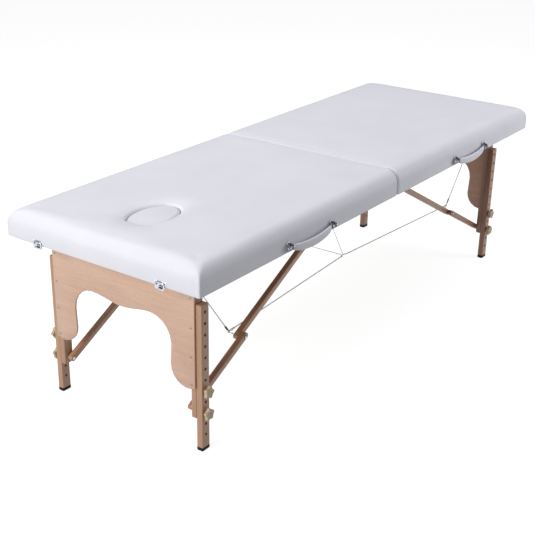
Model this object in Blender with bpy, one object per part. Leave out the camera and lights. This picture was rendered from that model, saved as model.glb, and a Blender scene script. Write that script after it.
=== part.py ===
"""Portable two-section facial treatment bed: padded folding top, wooden leg frames, braces and cables.

Metres, +Z up, origin on the floor under the middle of the bed. The head end, with the face hole, is at -X
and the foot end at +X. The foot half folds down and under about the hinge line below the middle seam, and
each leg frame swings up into its half of the top.
"""

import math

import bmesh
import bpy
from mathutils import Matrix, Vector

# Padded top
LENGTH = 1.85
WIDTH = 0.66
PAD_BOTTOM = 0.487
PAD_TOP = 0.567
SKIRT = 0.003
CORNER_RADIUS = 0.012
CORNER_GROWTH = 0.3
OUTER_EDGE_RADIUS = 0.036
SEAM_EDGE_RADIUS = 0.008
SEAM_HALF_GAP = 0.0005
GAP = 0.0003

# Frame and deck inside each half
DECK_BOTTOM = 0.533
DECK_THICKNESS = 0.005
RAIL_WIDTH = 0.0237
BLOCK_REACH = 0.078
BLOCK_INNER_Y = 0.165
BLOCK_OUTER_Y = 0.1934

# Face hole and its plug: an oval, long along the bed
HOLE_X = -0.710
HOLE_SEMI_X = 0.088
HOLE_SEMI_Y = 0.0565
PLUG_CLEARANCE = 0.0008
DECK_LEDGE = 0.003
PLUG_BELOW_RAILS = 0.002
PLUG_CROWN = ((0.0, 0.0125), (0.005, 0.0075), (0.015, 0.0055))

# Leg frames
PIVOT_X = 0.8265
PIVOT_Z = 0.5085
LEG_DEPTH = 0.0295
INNER_LEG_Y = (0.2307, 0.2467)
OUTER_LEG_Y = (0.2470, 0.2658)
INNER_LEG_BOTTOM = 0.094
INNER_LEG_CORNER = 0.009
OUTER_LEG_TOP = 0.419
FOOT_HEIGHT = 0.0097
FOOT_LIP = 0.0007
FOOT_CORNER = 0.002
ROD_RADIUS = 0.004
ROD_BORE_RADIUS = 0.0043
ROD_REACH = 0.315
HOLE_COUNT = 12
HOLE_PITCH = 0.032
FIRST_HOLE_Z = 0.399
ADJUSTER_HOLE_RADIUS = 0.004
KNOB_HOLES = (7, 9)
KNOB_RADIUS = 0.0150
KNOB_LOBE = 0.0030
KNOB_LOBES = 5
KNOB_THICKNESS = 0.0165

# Arched end panel, as seen from the end: a low wave, two shoulders and a rounded lobe beside each leg
PANEL_THICKNESS = 0.006
PANEL_GAP = 0.00035
PANEL_TOP = 0.478
PANEL_HALF_WIDTH = 0.2475
ARCH_MIDDLE_Z = 0.345
SHOULDER_CENTRE = (0.102, 0.289)
SHOULDER_RADIUS = 0.069
LOBE_CENTRE = (0.222, 0.232)
LOBE_RADIUS = 0.054

# Braces
BRACE_FOOT_Z = 0.113
BRACE_TOP_X = 0.085
LINK_HALF_WIDTH = 0.0085
LINK_OVERHANG = 0.0055
LOWER_LINK_Y = (0.2112, 0.2272)
UPPER_LINK_Y = (0.1947, 0.2107)

# Cables
CABLE_RADIUS = 0.0019
CABLE_ANCHOR_X = 0.815
CABLE_ANCHOR_Y = 0.19
CABLE_EYE = (0.631, 0.188, 0.244)
CABLE_EYE_BEFORE = (0.006, 0.0, 0.008)
CABLE_EYE_WITHIN = (0.0, 0.0, 0.001)
CABLE_EYE_AFTER = (-0.010, -0.0005, 0.0)
CABLE_JUNCTION_X = 0.004
CABLE_JUNCTION_Y = 0.154
CABLE_JUNCTION_Z = 0.25
HANGER_TOP = (-0.014, 0.04)

# Middle hinges
HINGE_Z = 0.4835
HINGE_Y = 0.225
HINGE_HALF_LENGTH = 0.030
KNUCKLE_HALF_LENGTH = 0.010
KNUCKLE_RADIUS = 0.0028
LEAF_REACH = 0.028
LEAF_THICKNESS = 0.0015
LEAF_TO_KNUCKLE = 0.0007
WEB_X = (0.0008, 0.0058)
WEB_RISE = 0.0010
WEB_TOP_DROP = 0.0004
WEB_TRIM = 0.0001

# Latches on the end faces
LATCH_Y = 0.21
LATCH_HALF_WIDTH = 0.018
LATCH_CORNER = 0.004
LATCH_PLATE_THICKNESS = 0.0015
LATCH_TOP = 0.504
LEVER_HALF_WIDTH = 0.0155
LEVER_HALF_THICKNESS = 0.002
LEVER_LIP = 0.0035
LEVER_PIVOT_Z = 0.4985
LEVER_BOTTOM = 0.4800
STRIKE_THICKNESS = 0.003

# Carrying handles on the near long side
HANDLE_CENTRE_X = 0.4665
HANDLE_HALF_SPAN = 0.101
HANDLE_AXIS_Y = -0.338
HANDLE_AXIS_Z = 0.504
HANDLE_SAG = 0.011
HANDLE_BOW = 0.0085
HANDLE_FULLNESS = 0.6
STRAP_END_HALF_HEIGHT = 0.0080
STRAP_MIDDLE_HALF_HEIGHT = 0.0120
STRAP_HALF_THICKNESS = 0.0035
STRAP_SQUARENESS = 0.6
BRACKET_HALF_WIDTH = 0.009
BRACKET_CORNER = 0.004
BRACKET_Y = -0.3465
BRACKET_Z = (0.490, 0.518)
TRUNNION_RADIUS = 0.0022
TRUNNION_BORE_RADIUS = 0.0027
TRUNNION_LENGTH = 0.007

# Derived places
HALF_LENGTH = LENGTH / 2
HALF_WIDTH = WIDTH / 2
RAIL_BOTTOM = PAD_BOTTOM + 0.0005
RAIL_TOP = DECK_BOTTOM - GAP
DECK_TOP = DECK_BOTTOM + DECK_THICKNESS
RECESS_END_X = HALF_LENGTH - SKIRT
RECESS_SEAM_X = SEAM_HALF_GAP + SKIRT
RECESS_Y = HALF_WIDTH - SKIRT
LEG_OUTER_X = PIVOT_X + LEG_DEPTH / 2
LEG_INNER_X = PIVOT_X - LEG_DEPTH / 2
WELD = 0.00001
CUT_MARGIN = 0.01
BORE_MARGIN = 0.001
OVAL_STEPS = 24

HEAD = -1
FOOT = 1
NEAR = -1
FAR = 1
END_NAME = {HEAD: "head", FOOT: "foot"}
SIDE_NAME = {NEAR: "near", FAR: "far"}

# Colour, roughness, metallic
FINISHES = {
    "white_vinyl": ((0.83, 0.83, 0.86), 0.42, 0.0),
    "beech_wood": ((0.60, 0.41, 0.28), 0.50, 0.0),
    "panel_plywood": ((0.64, 0.46, 0.32), 0.50, 0.0),
    "frame_wood": ((0.66, 0.52, 0.36), 0.60, 0.0),
    "deck_plywood": ((0.70, 0.57, 0.41), 0.65, 0.0),
    "steel": ((0.62, 0.62, 0.64), 0.35, 1.0),
    "steel_cable": ((0.50, 0.50, 0.52), 0.40, 1.0),
    "chrome": ((0.80, 0.80, 0.82), 0.12, 1.0),
    "black_rubber": ((0.02, 0.02, 0.02), 0.70, 0.0),
    "knob_plastic": ((0.66, 0.56, 0.40), 0.45, 0.0),
}

# Local axes of a flat outline drawn in each plane: its first axis, its second axis and its normal
PLANES = {
    "XY": Matrix(((1, 0, 0), (0, 1, 0), (0, 0, 1))),
    "YZ": Matrix(((0, 0, 1), (1, 0, 0), (0, 1, 0))),
    "XZ": Matrix(((1, 0, 0), (0, 0, -1), (0, 1, 0))),
}
NORMAL_INDEX = {"XY": 2, "YZ": 0, "XZ": 1}


def clear_scene():
    for item in list(bpy.data.objects):
        bpy.data.objects.remove(item, do_unlink=True)


def new_collection(name):
    collection = bpy.data.collections.new(name)
    bpy.context.scene.collection.children.link(collection)
    return collection


def make_materials():
    made = {}
    for name, (colour, roughness, metallic) in FINISHES.items():
        material = bpy.data.materials.new(name)
        material.use_nodes = True
        shader = material.node_tree.nodes["Principled BSDF"]
        shader.inputs["Base Color"].default_value = (*colour, 1.0)
        shader.inputs["Roughness"].default_value = roughness
        shader.inputs["Metallic"].default_value = metallic
        material.diffuse_color = (*colour, 1.0)
        made[name] = material
    return made


clear_scene()
BED = new_collection("facial_treatment_bed")
CUTTERS = new_collection("cutters")
MATERIALS = make_materials()


# Outlines, as lists of points in a plane


def arc(centre, radius, start, end, steps):
    """Points of an arc, angles in degrees, both ends included."""
    points = []
    for i in range(steps + 1):
        angle = math.radians(start + (end - start) * i / steps)
        points.append((centre[0] + radius * math.cos(angle), centre[1] + radius * math.sin(angle)))
    return points


def oval(centre, semi_a, semi_b, steps):
    points = []
    for i in range(steps):
        angle = math.tau * i / steps
        points.append((centre[0] + semi_a * math.cos(angle), centre[1] + semi_b * math.sin(angle)))
    return points


def rounded_rectangle(low, high, radius, steps=3):
    a0, b0 = low
    a1, b1 = high
    return (
        arc((a1 - radius, b1 - radius), radius, 0, 90, steps)
        + arc((a0 + radius, b1 - radius), radius, 90, 180, steps)
        + arc((a0 + radius, b0 + radius), radius, 180, 270, steps)
        + arc((a1 - radius, b0 + radius), radius, 270, 360, steps)
    )


def rectangle(low, high):
    return [(low[0], low[1]), (high[0], low[1]), (high[0], high[1]), (low[0], high[1])]


def half_rectangle(side, x0, x1, half_y, radius):
    """A rounded rectangle between x0 and x1 on one side of the middle seam."""
    low_x, high_x = sorted((side * x0, side * x1))
    return rounded_rectangle((low_x, -half_y), (high_x, half_y), radius)


# Solids


def add_object(name, data, material):
    item = bpy.data.objects.new(name, data)
    BED.objects.link(item)
    data.materials.clear()
    data.materials.append(MATERIALS[material])
    return item


def hide_as_cutter(item):
    for collection in list(item.users_collection):
        collection.objects.unlink(item)
    CUTTERS.objects.link(item)
    item.hide_render = True
    item.display_type = "WIRE"


def curve_to_mesh(source):
    """Replace a curve with a mesh of the same name and place, with its loose caps welded on."""
    bpy.context.view_layer.update()
    graph = bpy.context.evaluated_depsgraph_get()
    mesh = bpy.data.meshes.new_from_object(source.evaluated_get(graph))
    shape = bmesh.new()
    shape.from_mesh(mesh)
    bmesh.ops.remove_doubles(shape, verts=shape.verts, dist=WELD)
    bmesh.ops.dissolve_degenerate(shape, edges=shape.edges, dist=WELD)
    bmesh.ops.recalc_face_normals(shape, faces=shape.faces)
    shape.to_mesh(mesh)
    shape.free()
    name = source.name
    place = source.matrix_world.copy()
    bpy.data.objects.remove(source, do_unlink=True)
    item = bpy.data.objects.new(name, mesh)
    BED.objects.link(item)
    item.matrix_world = place
    return item


def plate(name, outlines, plane, span, material, origin=(0.0, 0.0, 0.0)):
    """A flat outline, with holes for any further outlines, thick from span[0] to span[1] along its normal.

    Outlines and span are in world coordinates. The object's origin is put at the given point.
    """
    turn = PLANES[plane]
    normal = NORMAL_INDEX[plane]
    drop = Vector(origin)
    local_drop = turn.transposed() @ drop

    curve = bpy.data.curves.new(name, "CURVE")
    curve.dimensions = "2D"
    curve.fill_mode = "BOTH"
    curve.extrude = abs(span[1] - span[0]) / 2
    for outline in outlines:
        spline = curve.splines.new("POLY")
        spline.points.add(len(outline) - 1)
        for point, (a, b) in zip(spline.points, outline):
            point.co = (a - local_drop[0], b - local_drop[1], 0.0, 1.0)
        spline.use_cyclic_u = True
    source = add_object(name, curve, material)
    source.matrix_world = turn.to_4x4()
    item = curve_to_mesh(source)

    # The object's axes stay along the world's, and its origin alone sets its place.
    shift = Vector((0.0, 0.0, 0.0))
    shift[normal] = (span[0] + span[1]) / 2 - drop[normal]
    item.data.transform(Matrix.Translation(shift) @ turn.to_4x4())
    item.matrix_world = Matrix.Translation(drop)
    item.data.materials.clear()
    item.data.materials.append(MATERIALS[material])
    return item


def block(name, low, high, material, origin=(0.0, 0.0, 0.0)):
    shape = bmesh.new()
    bmesh.ops.create_cube(shape, size=1.0)
    size = [b - a for a, b in zip(low, high)]
    middle = [(a + b) / 2 - o for a, b, o in zip(low, high, origin)]
    bmesh.ops.scale(shape, verts=shape.verts, vec=size)
    bmesh.ops.translate(shape, verts=shape.verts, vec=middle)
    mesh = bpy.data.meshes.new(name)
    shape.to_mesh(mesh)
    shape.free()
    item = add_object(name, mesh, material)
    item.location = origin
    return item


def cylinder(name, start, end, radius, material, steps=12, origin=(0.0, 0.0, 0.0)):
    start = Vector(start)
    end = Vector(end)
    axis = end - start
    shape = bmesh.new()
    bmesh.ops.create_cone(
        shape, cap_ends=True, segments=steps, radius1=radius, radius2=radius, depth=axis.length
    )
    turn = axis.to_track_quat("Z", "Y").to_matrix().to_4x4()
    place = Matrix.Translation((start + end) / 2 - Vector(origin)) @ turn
    bmesh.ops.transform(shape, matrix=place, verts=shape.verts)
    mesh = bpy.data.meshes.new(name)
    shape.to_mesh(mesh)
    shape.free()
    item = add_object(name, mesh, material)
    item.location = origin
    return item


def loft(name, rings, material, origin=(0.0, 0.0, 0.0)):
    """A closed skin over rings of equal numbers of world points, capped at both ends."""
    drop = Vector(origin)
    shape = bmesh.new()
    rows = [[shape.verts.new(Vector(point) - drop) for point in ring] for ring in rings]
    for row, following in zip(rows, rows[1:]):
        for i in range(len(row)):
            j = (i + 1) % len(row)
            shape.faces.new((row[i], row[j], following[j], following[i]))
    shape.faces.new(rows[0])
    shape.faces.new(rows[-1])
    bmesh.ops.recalc_face_normals(shape, faces=shape.faces)
    mesh = bpy.data.meshes.new(name)
    shape.to_mesh(mesh)
    shape.free()
    mesh.shade_smooth()
    mesh.set_sharp_from_angle(angle=math.radians(40))
    item = add_object(name, mesh, material)
    item.location = origin
    return item


def cable(name, route):
    curve = bpy.data.curves.new(name, "CURVE")
    curve.dimensions = "3D"
    curve.bevel_depth = CABLE_RADIUS
    curve.bevel_resolution = 2
    curve.use_fill_caps = True
    spline = curve.splines.new("POLY")
    spline.points.add(len(route) - 1)
    for point, place in zip(spline.points, route):
        point.co = (*place, 1.0)
    return add_object(name, curve, "steel_cable")


def cut(target, cutter):
    hide_as_cutter(cutter)
    boolean = target.modifiers.new("cut_" + cutter.name, "BOOLEAN")
    boolean.operation = "DIFFERENCE"
    boolean.solver = "EXACT"
    boolean.object = cutter


def join(target, others):
    for other in others:
        hide_as_cutter(other)
        boolean = target.modifiers.new("join_" + other.name, "BOOLEAN")
        boolean.operation = "UNION"
        boolean.solver = "EXACT"
        boolean.object = other


def joint(name, place, parent=None):
    """An empty on a joint's axis. What moves with the joint hangs from it."""
    empty = bpy.data.objects.new(name, None)
    BED.objects.link(empty)
    empty.empty_display_size = 0.03
    empty.location = place
    if parent:
        attach([empty], parent)
    return empty


def attach(items, parent):
    bpy.context.view_layer.update()
    for item in items:
        item.parent = parent
        item.matrix_parent_inverse = parent.matrix_world.inverted()


# The padded top


def make_cushion(side):
    """Foam and vinyl: a slab on the deck, with a skirt that covers the outside of the rails."""
    name = END_NAME[side] + "_cushion"
    rings = []
    for outer, seam, z in [(0.0, 0.0, PAD_BOTTOM)] + rounded_edge_profile():
        low_x, high_x = sorted((side * (SEAM_HALF_GAP + seam), side * (HALF_LENGTH - outer)))
        corner = CORNER_RADIUS + CORNER_GROWTH * outer
        half_y = HALF_WIDTH - outer
        outline = rounded_rectangle((low_x, -half_y), (high_x, half_y), corner)
        rings.append([(x, y, z) for x, y in outline])
    cushion = loft(name, rings, "white_vinyl")

    recess_outline = half_rectangle(side, RECESS_SEAM_X, RECESS_END_X, RECESS_Y, CORNER_RADIUS - SKIRT)
    recess_span = (PAD_BOTTOM - CUT_MARGIN, DECK_TOP + GAP)
    cut(cushion, plate(name + "_recess", [recess_outline], "XY", recess_span, "white_vinyl"))
    if side == HEAD:
        hole = oval((HOLE_X, 0.0), HOLE_SEMI_X, HOLE_SEMI_Y, OVAL_STEPS)
        hole_span = (DECK_TOP, PAD_TOP + CUT_MARGIN)
        cut(cushion, plate(name + "_face_hole", [hole], "XY", hole_span, "white_vinyl"))
    return cushion


def rounded_edge_profile():
    """Inset from the outer sides, inset from the seam and height of each ring round the top edge."""
    steps = 6
    profile = []
    for i in range(steps + 1):
        angle = math.radians(90 * i / steps)
        turned = 1 - math.cos(angle)
        z = PAD_TOP - OUTER_EDGE_RADIUS * (1 - math.sin(angle))
        profile.append((OUTER_EDGE_RADIUS * turned, SEAM_EDGE_RADIUS * turned, z))
    return profile


def inner_outline(side):
    """The outside of the deck and the frame, just inside the cushion's recess."""
    corner = CORNER_RADIUS - SKIRT - GAP
    return half_rectangle(side, RECESS_SEAM_X + GAP, RECESS_END_X - GAP, RECESS_Y - GAP, corner)


def make_deck(side):
    outlines = [inner_outline(side)]
    if side == HEAD:
        semi_x = HOLE_SEMI_X - DECK_LEDGE
        semi_y = HOLE_SEMI_Y - DECK_LEDGE
        outlines.append(oval((HOLE_X, 0.0), semi_x, semi_y, OVAL_STEPS))
    return plate(END_NAME[side] + "_deck", outlines, "XY", (DECK_BOTTOM, DECK_TOP), "deck_plywood")


def make_frame(side):
    """Rails round the half, with a brace block on each side of its middle rail, bored for the leg rod."""
    name = END_NAME[side] + "_frame"
    end_x = RECESS_END_X - GAP - RAIL_WIDTH
    seam_x = RECESS_SEAM_X + GAP + RAIL_WIDTH
    side_y = RECESS_Y - GAP - RAIL_WIDTH
    block_x = seam_x + BLOCK_REACH
    half_inner = [
        (seam_x, BLOCK_INNER_Y),
        (block_x, BLOCK_INNER_Y),
        (block_x, BLOCK_OUTER_Y),
        (seam_x, BLOCK_OUTER_Y),
        (seam_x, side_y),
        (end_x, side_y),
    ]
    inner = half_inner + [(x, -y) for x, y in reversed(half_inner)]
    inner = [(side * x, y) for x, y in inner]
    frame = plate(name, [inner_outline(side), inner], "XY", (RAIL_BOTTOM, RAIL_TOP), "frame_wood")

    reach = ROD_REACH + GAP
    bore = cylinder(
        name + "_rod_bore",
        (side * PIVOT_X, -reach, PIVOT_Z),
        (side * PIVOT_X, reach, PIVOT_Z),
        ROD_BORE_RADIUS,
        "frame_wood",
    )
    cut(frame, bore)
    return frame


def make_face_plug():
    """A padded plug with a step that rests on the deck round the hole."""
    upper_x = HOLE_SEMI_X - PLUG_CLEARANCE
    upper_y = HOLE_SEMI_Y - PLUG_CLEARANCE
    lower_x = upper_x - DECK_LEDGE
    lower_y = upper_y - DECK_LEDGE
    step_z = DECK_TOP + GAP
    # Semi-axes and height of each ring, from the underside up. The crown is inset and drop below the top.
    profile = [
        (lower_x, lower_y, RAIL_TOP - PLUG_BELOW_RAILS),
        (lower_x, lower_y, step_z),
        (upper_x, upper_y, step_z),
    ]
    profile += [(upper_x - inset, upper_y - inset, PAD_TOP - drop) for inset, drop in PLUG_CROWN]
    rings = []
    for semi_x, semi_y, z in profile:
        rings.append([(x, y, z) for x, y in oval((HOLE_X, 0.0), semi_x, semi_y, OVAL_STEPS)])
    return loft("face_hole_plug", rings, "white_vinyl", (HOLE_X, 0.0, step_z))


# Leg frames


def panel_outline():
    """The arched panel from the end, in Y and Z. Each half is a wave, a shoulder and a lobe."""
    shoulder_y, shoulder_z = SHOULDER_CENTRE
    rise = shoulder_z + SHOULDER_RADIUS - ARCH_MIDDLE_Z
    wave_steps = 5
    half = []
    for i in range(1, wave_steps):
        part = i / wave_steps
        half.append((shoulder_y * part, ARCH_MIDDLE_Z + rise * (1 - math.cos(math.pi * part)) / 2))
    half += arc(SHOULDER_CENTRE, SHOULDER_RADIUS, 90, 0, 5)
    edge_angle = math.degrees(math.acos((PANEL_HALF_WIDTH - LOBE_CENTRE[0]) / LOBE_RADIUS))
    half += arc(LOBE_CENTRE, LOBE_RADIUS, 180, 360 - edge_angle, 7)
    half.append((PANEL_HALF_WIDTH, PANEL_TOP))
    mirrored = [(-y, z) for y, z in reversed(half)]
    return mirrored + [(0.0, ARCH_MIDDLE_Z)] + half


def make_end_panel(side, origin):
    near_x = LEG_OUTER_X + PANEL_GAP
    span = sorted((side * near_x, side * (near_x + PANEL_THICKNESS)))
    return plate(END_NAME[side] + "_end_panel", [panel_outline()], "YZ", span, "panel_plywood", origin)


def make_inner_leg(side, edge, origin):
    """Rounded at the top about the rod, with a rounded corner at the bottom."""
    half = LEG_DEPTH / 2
    top = arc((PIVOT_X, PIVOT_Z), half, 0, 180, 6)
    corner_centre = (PIVOT_X - half + INNER_LEG_CORNER, INNER_LEG_BOTTOM + INNER_LEG_CORNER)
    bottom = arc(corner_centre, INNER_LEG_CORNER, 180, 270, 3)
    outline = [(side * x, z) for x, z in top + bottom + [(PIVOT_X + half, INNER_LEG_BOTTOM)]]
    bore = oval((side * PIVOT_X, PIVOT_Z), ROD_BORE_RADIUS, ROD_BORE_RADIUS, 12)
    name = f"{END_NAME[side]}_inner_leg_{SIDE_NAME[edge]}"
    span = sorted(edge * y for y in INNER_LEG_Y)
    return plate(name, [outline, bore], "XZ", span, "beech_wood", origin)


def make_outer_leg(side, edge, origin):
    low_x, high_x = sorted((side * LEG_INNER_X, side * LEG_OUTER_X))
    outlines = [rectangle((low_x, FOOT_HEIGHT + GAP), (high_x, OUTER_LEG_TOP))]
    for i in range(HOLE_COUNT):
        centre = (side * PIVOT_X, FIRST_HOLE_Z - i * HOLE_PITCH)
        outlines.append(oval(centre, ADJUSTER_HOLE_RADIUS, ADJUSTER_HOLE_RADIUS, 8))
    name = f"{END_NAME[side]}_outer_leg_{SIDE_NAME[edge]}"
    span = sorted(edge * y for y in OUTER_LEG_Y)
    return plate(name, outlines, "XZ", span, "beech_wood", origin)


def make_rubber_foot(side, edge, origin):
    xs = sorted((side * (LEG_INNER_X - FOOT_LIP), side * (LEG_OUTER_X + FOOT_LIP)))
    ys = sorted((edge * (OUTER_LEG_Y[0] - FOOT_LIP), edge * (OUTER_LEG_Y[1] + FOOT_LIP)))
    outline = rounded_rectangle((xs[0], ys[0]), (xs[1], ys[1]), FOOT_CORNER, 2)
    name = f"{END_NAME[side]}_rubber_foot_{SIDE_NAME[edge]}"
    return plate(name, [outline], "XY", (0.0, FOOT_HEIGHT), "black_rubber", origin)


def knob_height(position):
    return FIRST_HOLE_Z - KNOB_HOLES[position] * HOLE_PITCH


def make_knob(side, edge, position, origin):
    """A five-pointed star grip against the outside of the outer leg."""
    steps = 4 * KNOB_LOBES
    outline = []
    for i in range(steps):
        angle = math.tau * i / steps
        radius = KNOB_RADIUS + KNOB_LOBE * math.cos(KNOB_LOBES * (angle - math.pi / 2))
        outline.append((origin[0] + radius * math.cos(angle), origin[2] + radius * math.sin(angle)))
    near_y = OUTER_LEG_Y[1] + GAP
    span = sorted((edge * near_y, edge * (near_y + KNOB_THICKNESS)))
    level = ("upper", "lower")[position]
    name = f"{END_NAME[side]}_{level}_knob_{SIDE_NAME[edge]}"
    return plate(name, [outline], "XZ", span, "knob_plastic", origin)


def make_leg_rod(side):
    return cylinder(
        END_NAME[side] + "_leg_rod",
        (side * PIVOT_X, -ROD_REACH, PIVOT_Z),
        (side * PIVOT_X, ROD_REACH, PIVOT_Z),
        ROD_RADIUS,
        "steel",
        origin=(side * PIVOT_X, 0.0, PIVOT_Z),
    )


# Braces


def brace_lengths():
    """Lower and upper link lengths that lie straight when open and flat along the top when folded."""
    leg_reach = PIVOT_Z - BRACE_FOOT_Z
    open_length = math.hypot(PIVOT_X - BRACE_TOP_X, leg_reach)
    folded_difference = PIVOT_X - leg_reach - BRACE_TOP_X
    return (open_length - folded_difference) / 2, (open_length + folded_difference) / 2


def brace_points(side):
    """The brace's pivot on the leg, its middle joint and its pivot on the frame block, in X and Z."""
    lower, upper = brace_lengths()
    part = lower / (lower + upper)
    foot = (side * PIVOT_X, BRACE_FOOT_Z)
    top = (side * BRACE_TOP_X, PIVOT_Z)
    middle = (foot[0] + (top[0] - foot[0]) * part, foot[1] + (top[1] - foot[1]) * part)
    return foot, middle, top


def link_outline(pivot, middle):
    """Rounded about its pivot, and reaching a little past the middle joint."""
    heading = math.atan2(middle[1] - pivot[1], middle[0] - pivot[0])
    tip = (middle[0] + LINK_OVERHANG * math.cos(heading), middle[1] + LINK_OVERHANG * math.sin(heading))
    turned = math.degrees(heading)
    return arc(pivot, LINK_HALF_WIDTH, turned + 90, turned + 270, 6) + arc(
        tip, LINK_HALF_WIDTH, turned - 90, turned + 90, 6
    )


def make_link(name, pivot, middle, y_range, edge, origin):
    span = sorted(edge * y for y in y_range)
    return plate(name, [link_outline(pivot, middle)], "XZ", span, "beech_wood", origin)


# Cables


def make_side_cable(side, edge):
    """From the deck above the leg rod, through the eye beside the brace, to the middle junction."""
    anchor_x = side * CABLE_ANCHOR_X
    anchor_y = edge * CABLE_ANCHOR_Y
    route = [(anchor_x, anchor_y, DECK_BOTTOM - GAP), (anchor_x, anchor_y, PAD_BOTTOM)]
    for shift in (CABLE_EYE_BEFORE, CABLE_EYE_WITHIN, CABLE_EYE_AFTER):
        x, y, z = (eye + step for eye, step in zip(CABLE_EYE, shift))
        route.append((side * x, edge * y, z))
    route.append((side * CABLE_JUNCTION_X, edge * CABLE_JUNCTION_Y, CABLE_JUNCTION_Z))
    return cable(f"{END_NAME[side]}_side_cable_{SIDE_NAME[edge]}", route)


def make_cross_cable():
    """Hangs from the head half's middle rail and holds the two lines of side cables apart."""
    top_x, top_y = HANGER_TOP
    half = [
        (top_x, top_y, RAIL_BOTTOM - CABLE_RADIUS),
        (0.0, CABLE_JUNCTION_Y, CABLE_JUNCTION_Z),
    ]
    route = [(x, -y, z) for x, y, z in half] + list(reversed(half))
    return cable("cross_cable", route)


# Hardware


def make_hinge_leaf(side, edge):
    """The head leaf has the two outer knuckles and the foot leaf the middle one."""
    name = f"{END_NAME[side]}_hinge_leaf_{SIDE_NAME[edge]}"
    middle_y = edge * HINGE_Y
    leaf_top = RAIL_BOTTOM - GAP
    leaf_bottom = leaf_top - LEAF_THICKNESS
    xs = sorted((side * (KNUCKLE_RADIUS + LEAF_TO_KNUCKLE), side * LEAF_REACH))
    origin = (0.0, middle_y, HINGE_Z)
    leaf = block(
        name,
        (xs[0], middle_y - HINGE_HALF_LENGTH, leaf_bottom),
        (xs[1], middle_y + HINGE_HALF_LENGTH, leaf_top),
        "steel",
        origin,
    )
    if side == HEAD:
        inner = KNUCKLE_HALF_LENGTH + GAP
        spans = [(-HINGE_HALF_LENGTH, -inner), (inner, HINGE_HALF_LENGTH)]
    else:
        spans = [(-KNUCKLE_HALF_LENGTH, KNUCKLE_HALF_LENGTH)]
    pieces = []
    for index, (low, high) in enumerate(spans):
        low_y = middle_y + low
        high_y = middle_y + high
        knuckle_name = f"{name}_knuckle_{index}"
        knuckle = cylinder(
            knuckle_name, (0, low_y, HINGE_Z), (0, high_y, HINGE_Z), KNUCKLE_RADIUS, "steel", 10
        )
        web_xs = sorted(side * x for x in WEB_X)
        web = block(
            f"{name}_web_{index}",
            (web_xs[0], low_y + WEB_TRIM, HINGE_Z + WEB_RISE),
            (web_xs[1], high_y - WEB_TRIM, leaf_top - WEB_TOP_DROP),
            "steel",
        )
        pieces += [knuckle, web]
    join(leaf, pieces)
    return leaf


def latch_outline(edge):
    middle = edge * LATCH_Y
    low = (middle - LATCH_HALF_WIDTH, RAIL_BOTTOM)
    high = (middle + LATCH_HALF_WIDTH, LATCH_TOP)
    return rounded_rectangle(low, high, LATCH_CORNER, 2)


def make_latch_plate(edge):
    near_x = -(HALF_LENGTH + GAP)
    span = (near_x - LATCH_PLATE_THICKNESS, near_x)
    return plate(f"latch_plate_{SIDE_NAME[edge]}", [latch_outline(edge)], "YZ", span, "chrome")


def latch_pivot(edge):
    x = -(HALF_LENGTH + LATCH_PLATE_THICKNESS + 2 * GAP + LEVER_HALF_THICKNESS)
    return (x, edge * LATCH_Y, LEVER_PIVOT_Z)


def make_latch_lever(edge):
    """A flap rounded about its pivot, with a thin turned-in lip at its lower end."""
    x, y, z = latch_pivot(edge)
    half = LEVER_HALF_THICKNESS
    outline = arc((x, z), half, 0, 180, 6) + [
        (x - half, LEVER_BOTTOM),
        (x + half + LEVER_LIP, LEVER_BOTTOM),
        (x + half + LEVER_LIP, LEVER_BOTTOM + half),
        (x + half, LEVER_BOTTOM + half),
    ]
    span = (y - LEVER_HALF_WIDTH, y + LEVER_HALF_WIDTH)
    return plate(f"latch_lever_{SIDE_NAME[edge]}", [outline], "XZ", span, "chrome", (x, y, z))


def make_latch_strike(edge):
    near_x = HALF_LENGTH + GAP
    span = (near_x, near_x + STRIKE_THICKNESS)
    return plate(f"latch_strike_{SIDE_NAME[edge]}", [latch_outline(edge)], "YZ", span, "chrome")


def make_handle_bracket(side, place):
    """Place is -1 for the bracket nearer the end of the bed and 1 for the one nearer the middle."""
    inward = -side * place
    middle_x = side * HANDLE_CENTRE_X + inward * HANDLE_HALF_SPAN
    label = {-1: "outer", 1: "inner"}[place]
    name = f"{END_NAME[side]}_handle_bracket_{label}"
    low = (BRACKET_Y, BRACKET_Z[0])
    high = (-(HALF_WIDTH + GAP), BRACKET_Z[1])
    outline = rounded_rectangle(low, high, BRACKET_CORNER, 3)
    span = (middle_x - BRACKET_HALF_WIDTH, middle_x + BRACKET_HALF_WIDTH)
    bracket = plate(name, [outline], "YZ", span, "chrome")

    face_x = middle_x - inward * BRACKET_HALF_WIDTH
    bore = cylinder(
        name + "_bore",
        (face_x - inward * BORE_MARGIN, HANDLE_AXIS_Y, HANDLE_AXIS_Z),
        (face_x + inward * (TRUNNION_LENGTH + BORE_MARGIN), HANDLE_AXIS_Y, HANDLE_AXIS_Z),
        TRUNNION_BORE_RADIUS,
        "chrome",
    )
    cut(bracket, bore)
    return bracket


def strap_ring(x, drop, half_y, half_z):
    """A flattened round section, out and down from the handle's axis. The power keeps its sides full."""
    centre_y = HANDLE_AXIS_Y - HANDLE_BOW * drop
    centre_z = HANDLE_AXIS_Z - HANDLE_SAG * drop
    steps = 12
    ring = []
    for i in range(steps):
        angle = math.tau * i / steps
        across = math.cos(angle)
        up = math.sin(angle)
        y = centre_y + half_y * math.copysign(abs(across) ** STRAP_SQUARENESS, across)
        z = centre_z + half_z * math.copysign(abs(up) ** STRAP_SQUARENESS, up)
        ring.append((x, y, z))
    return ring


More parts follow.
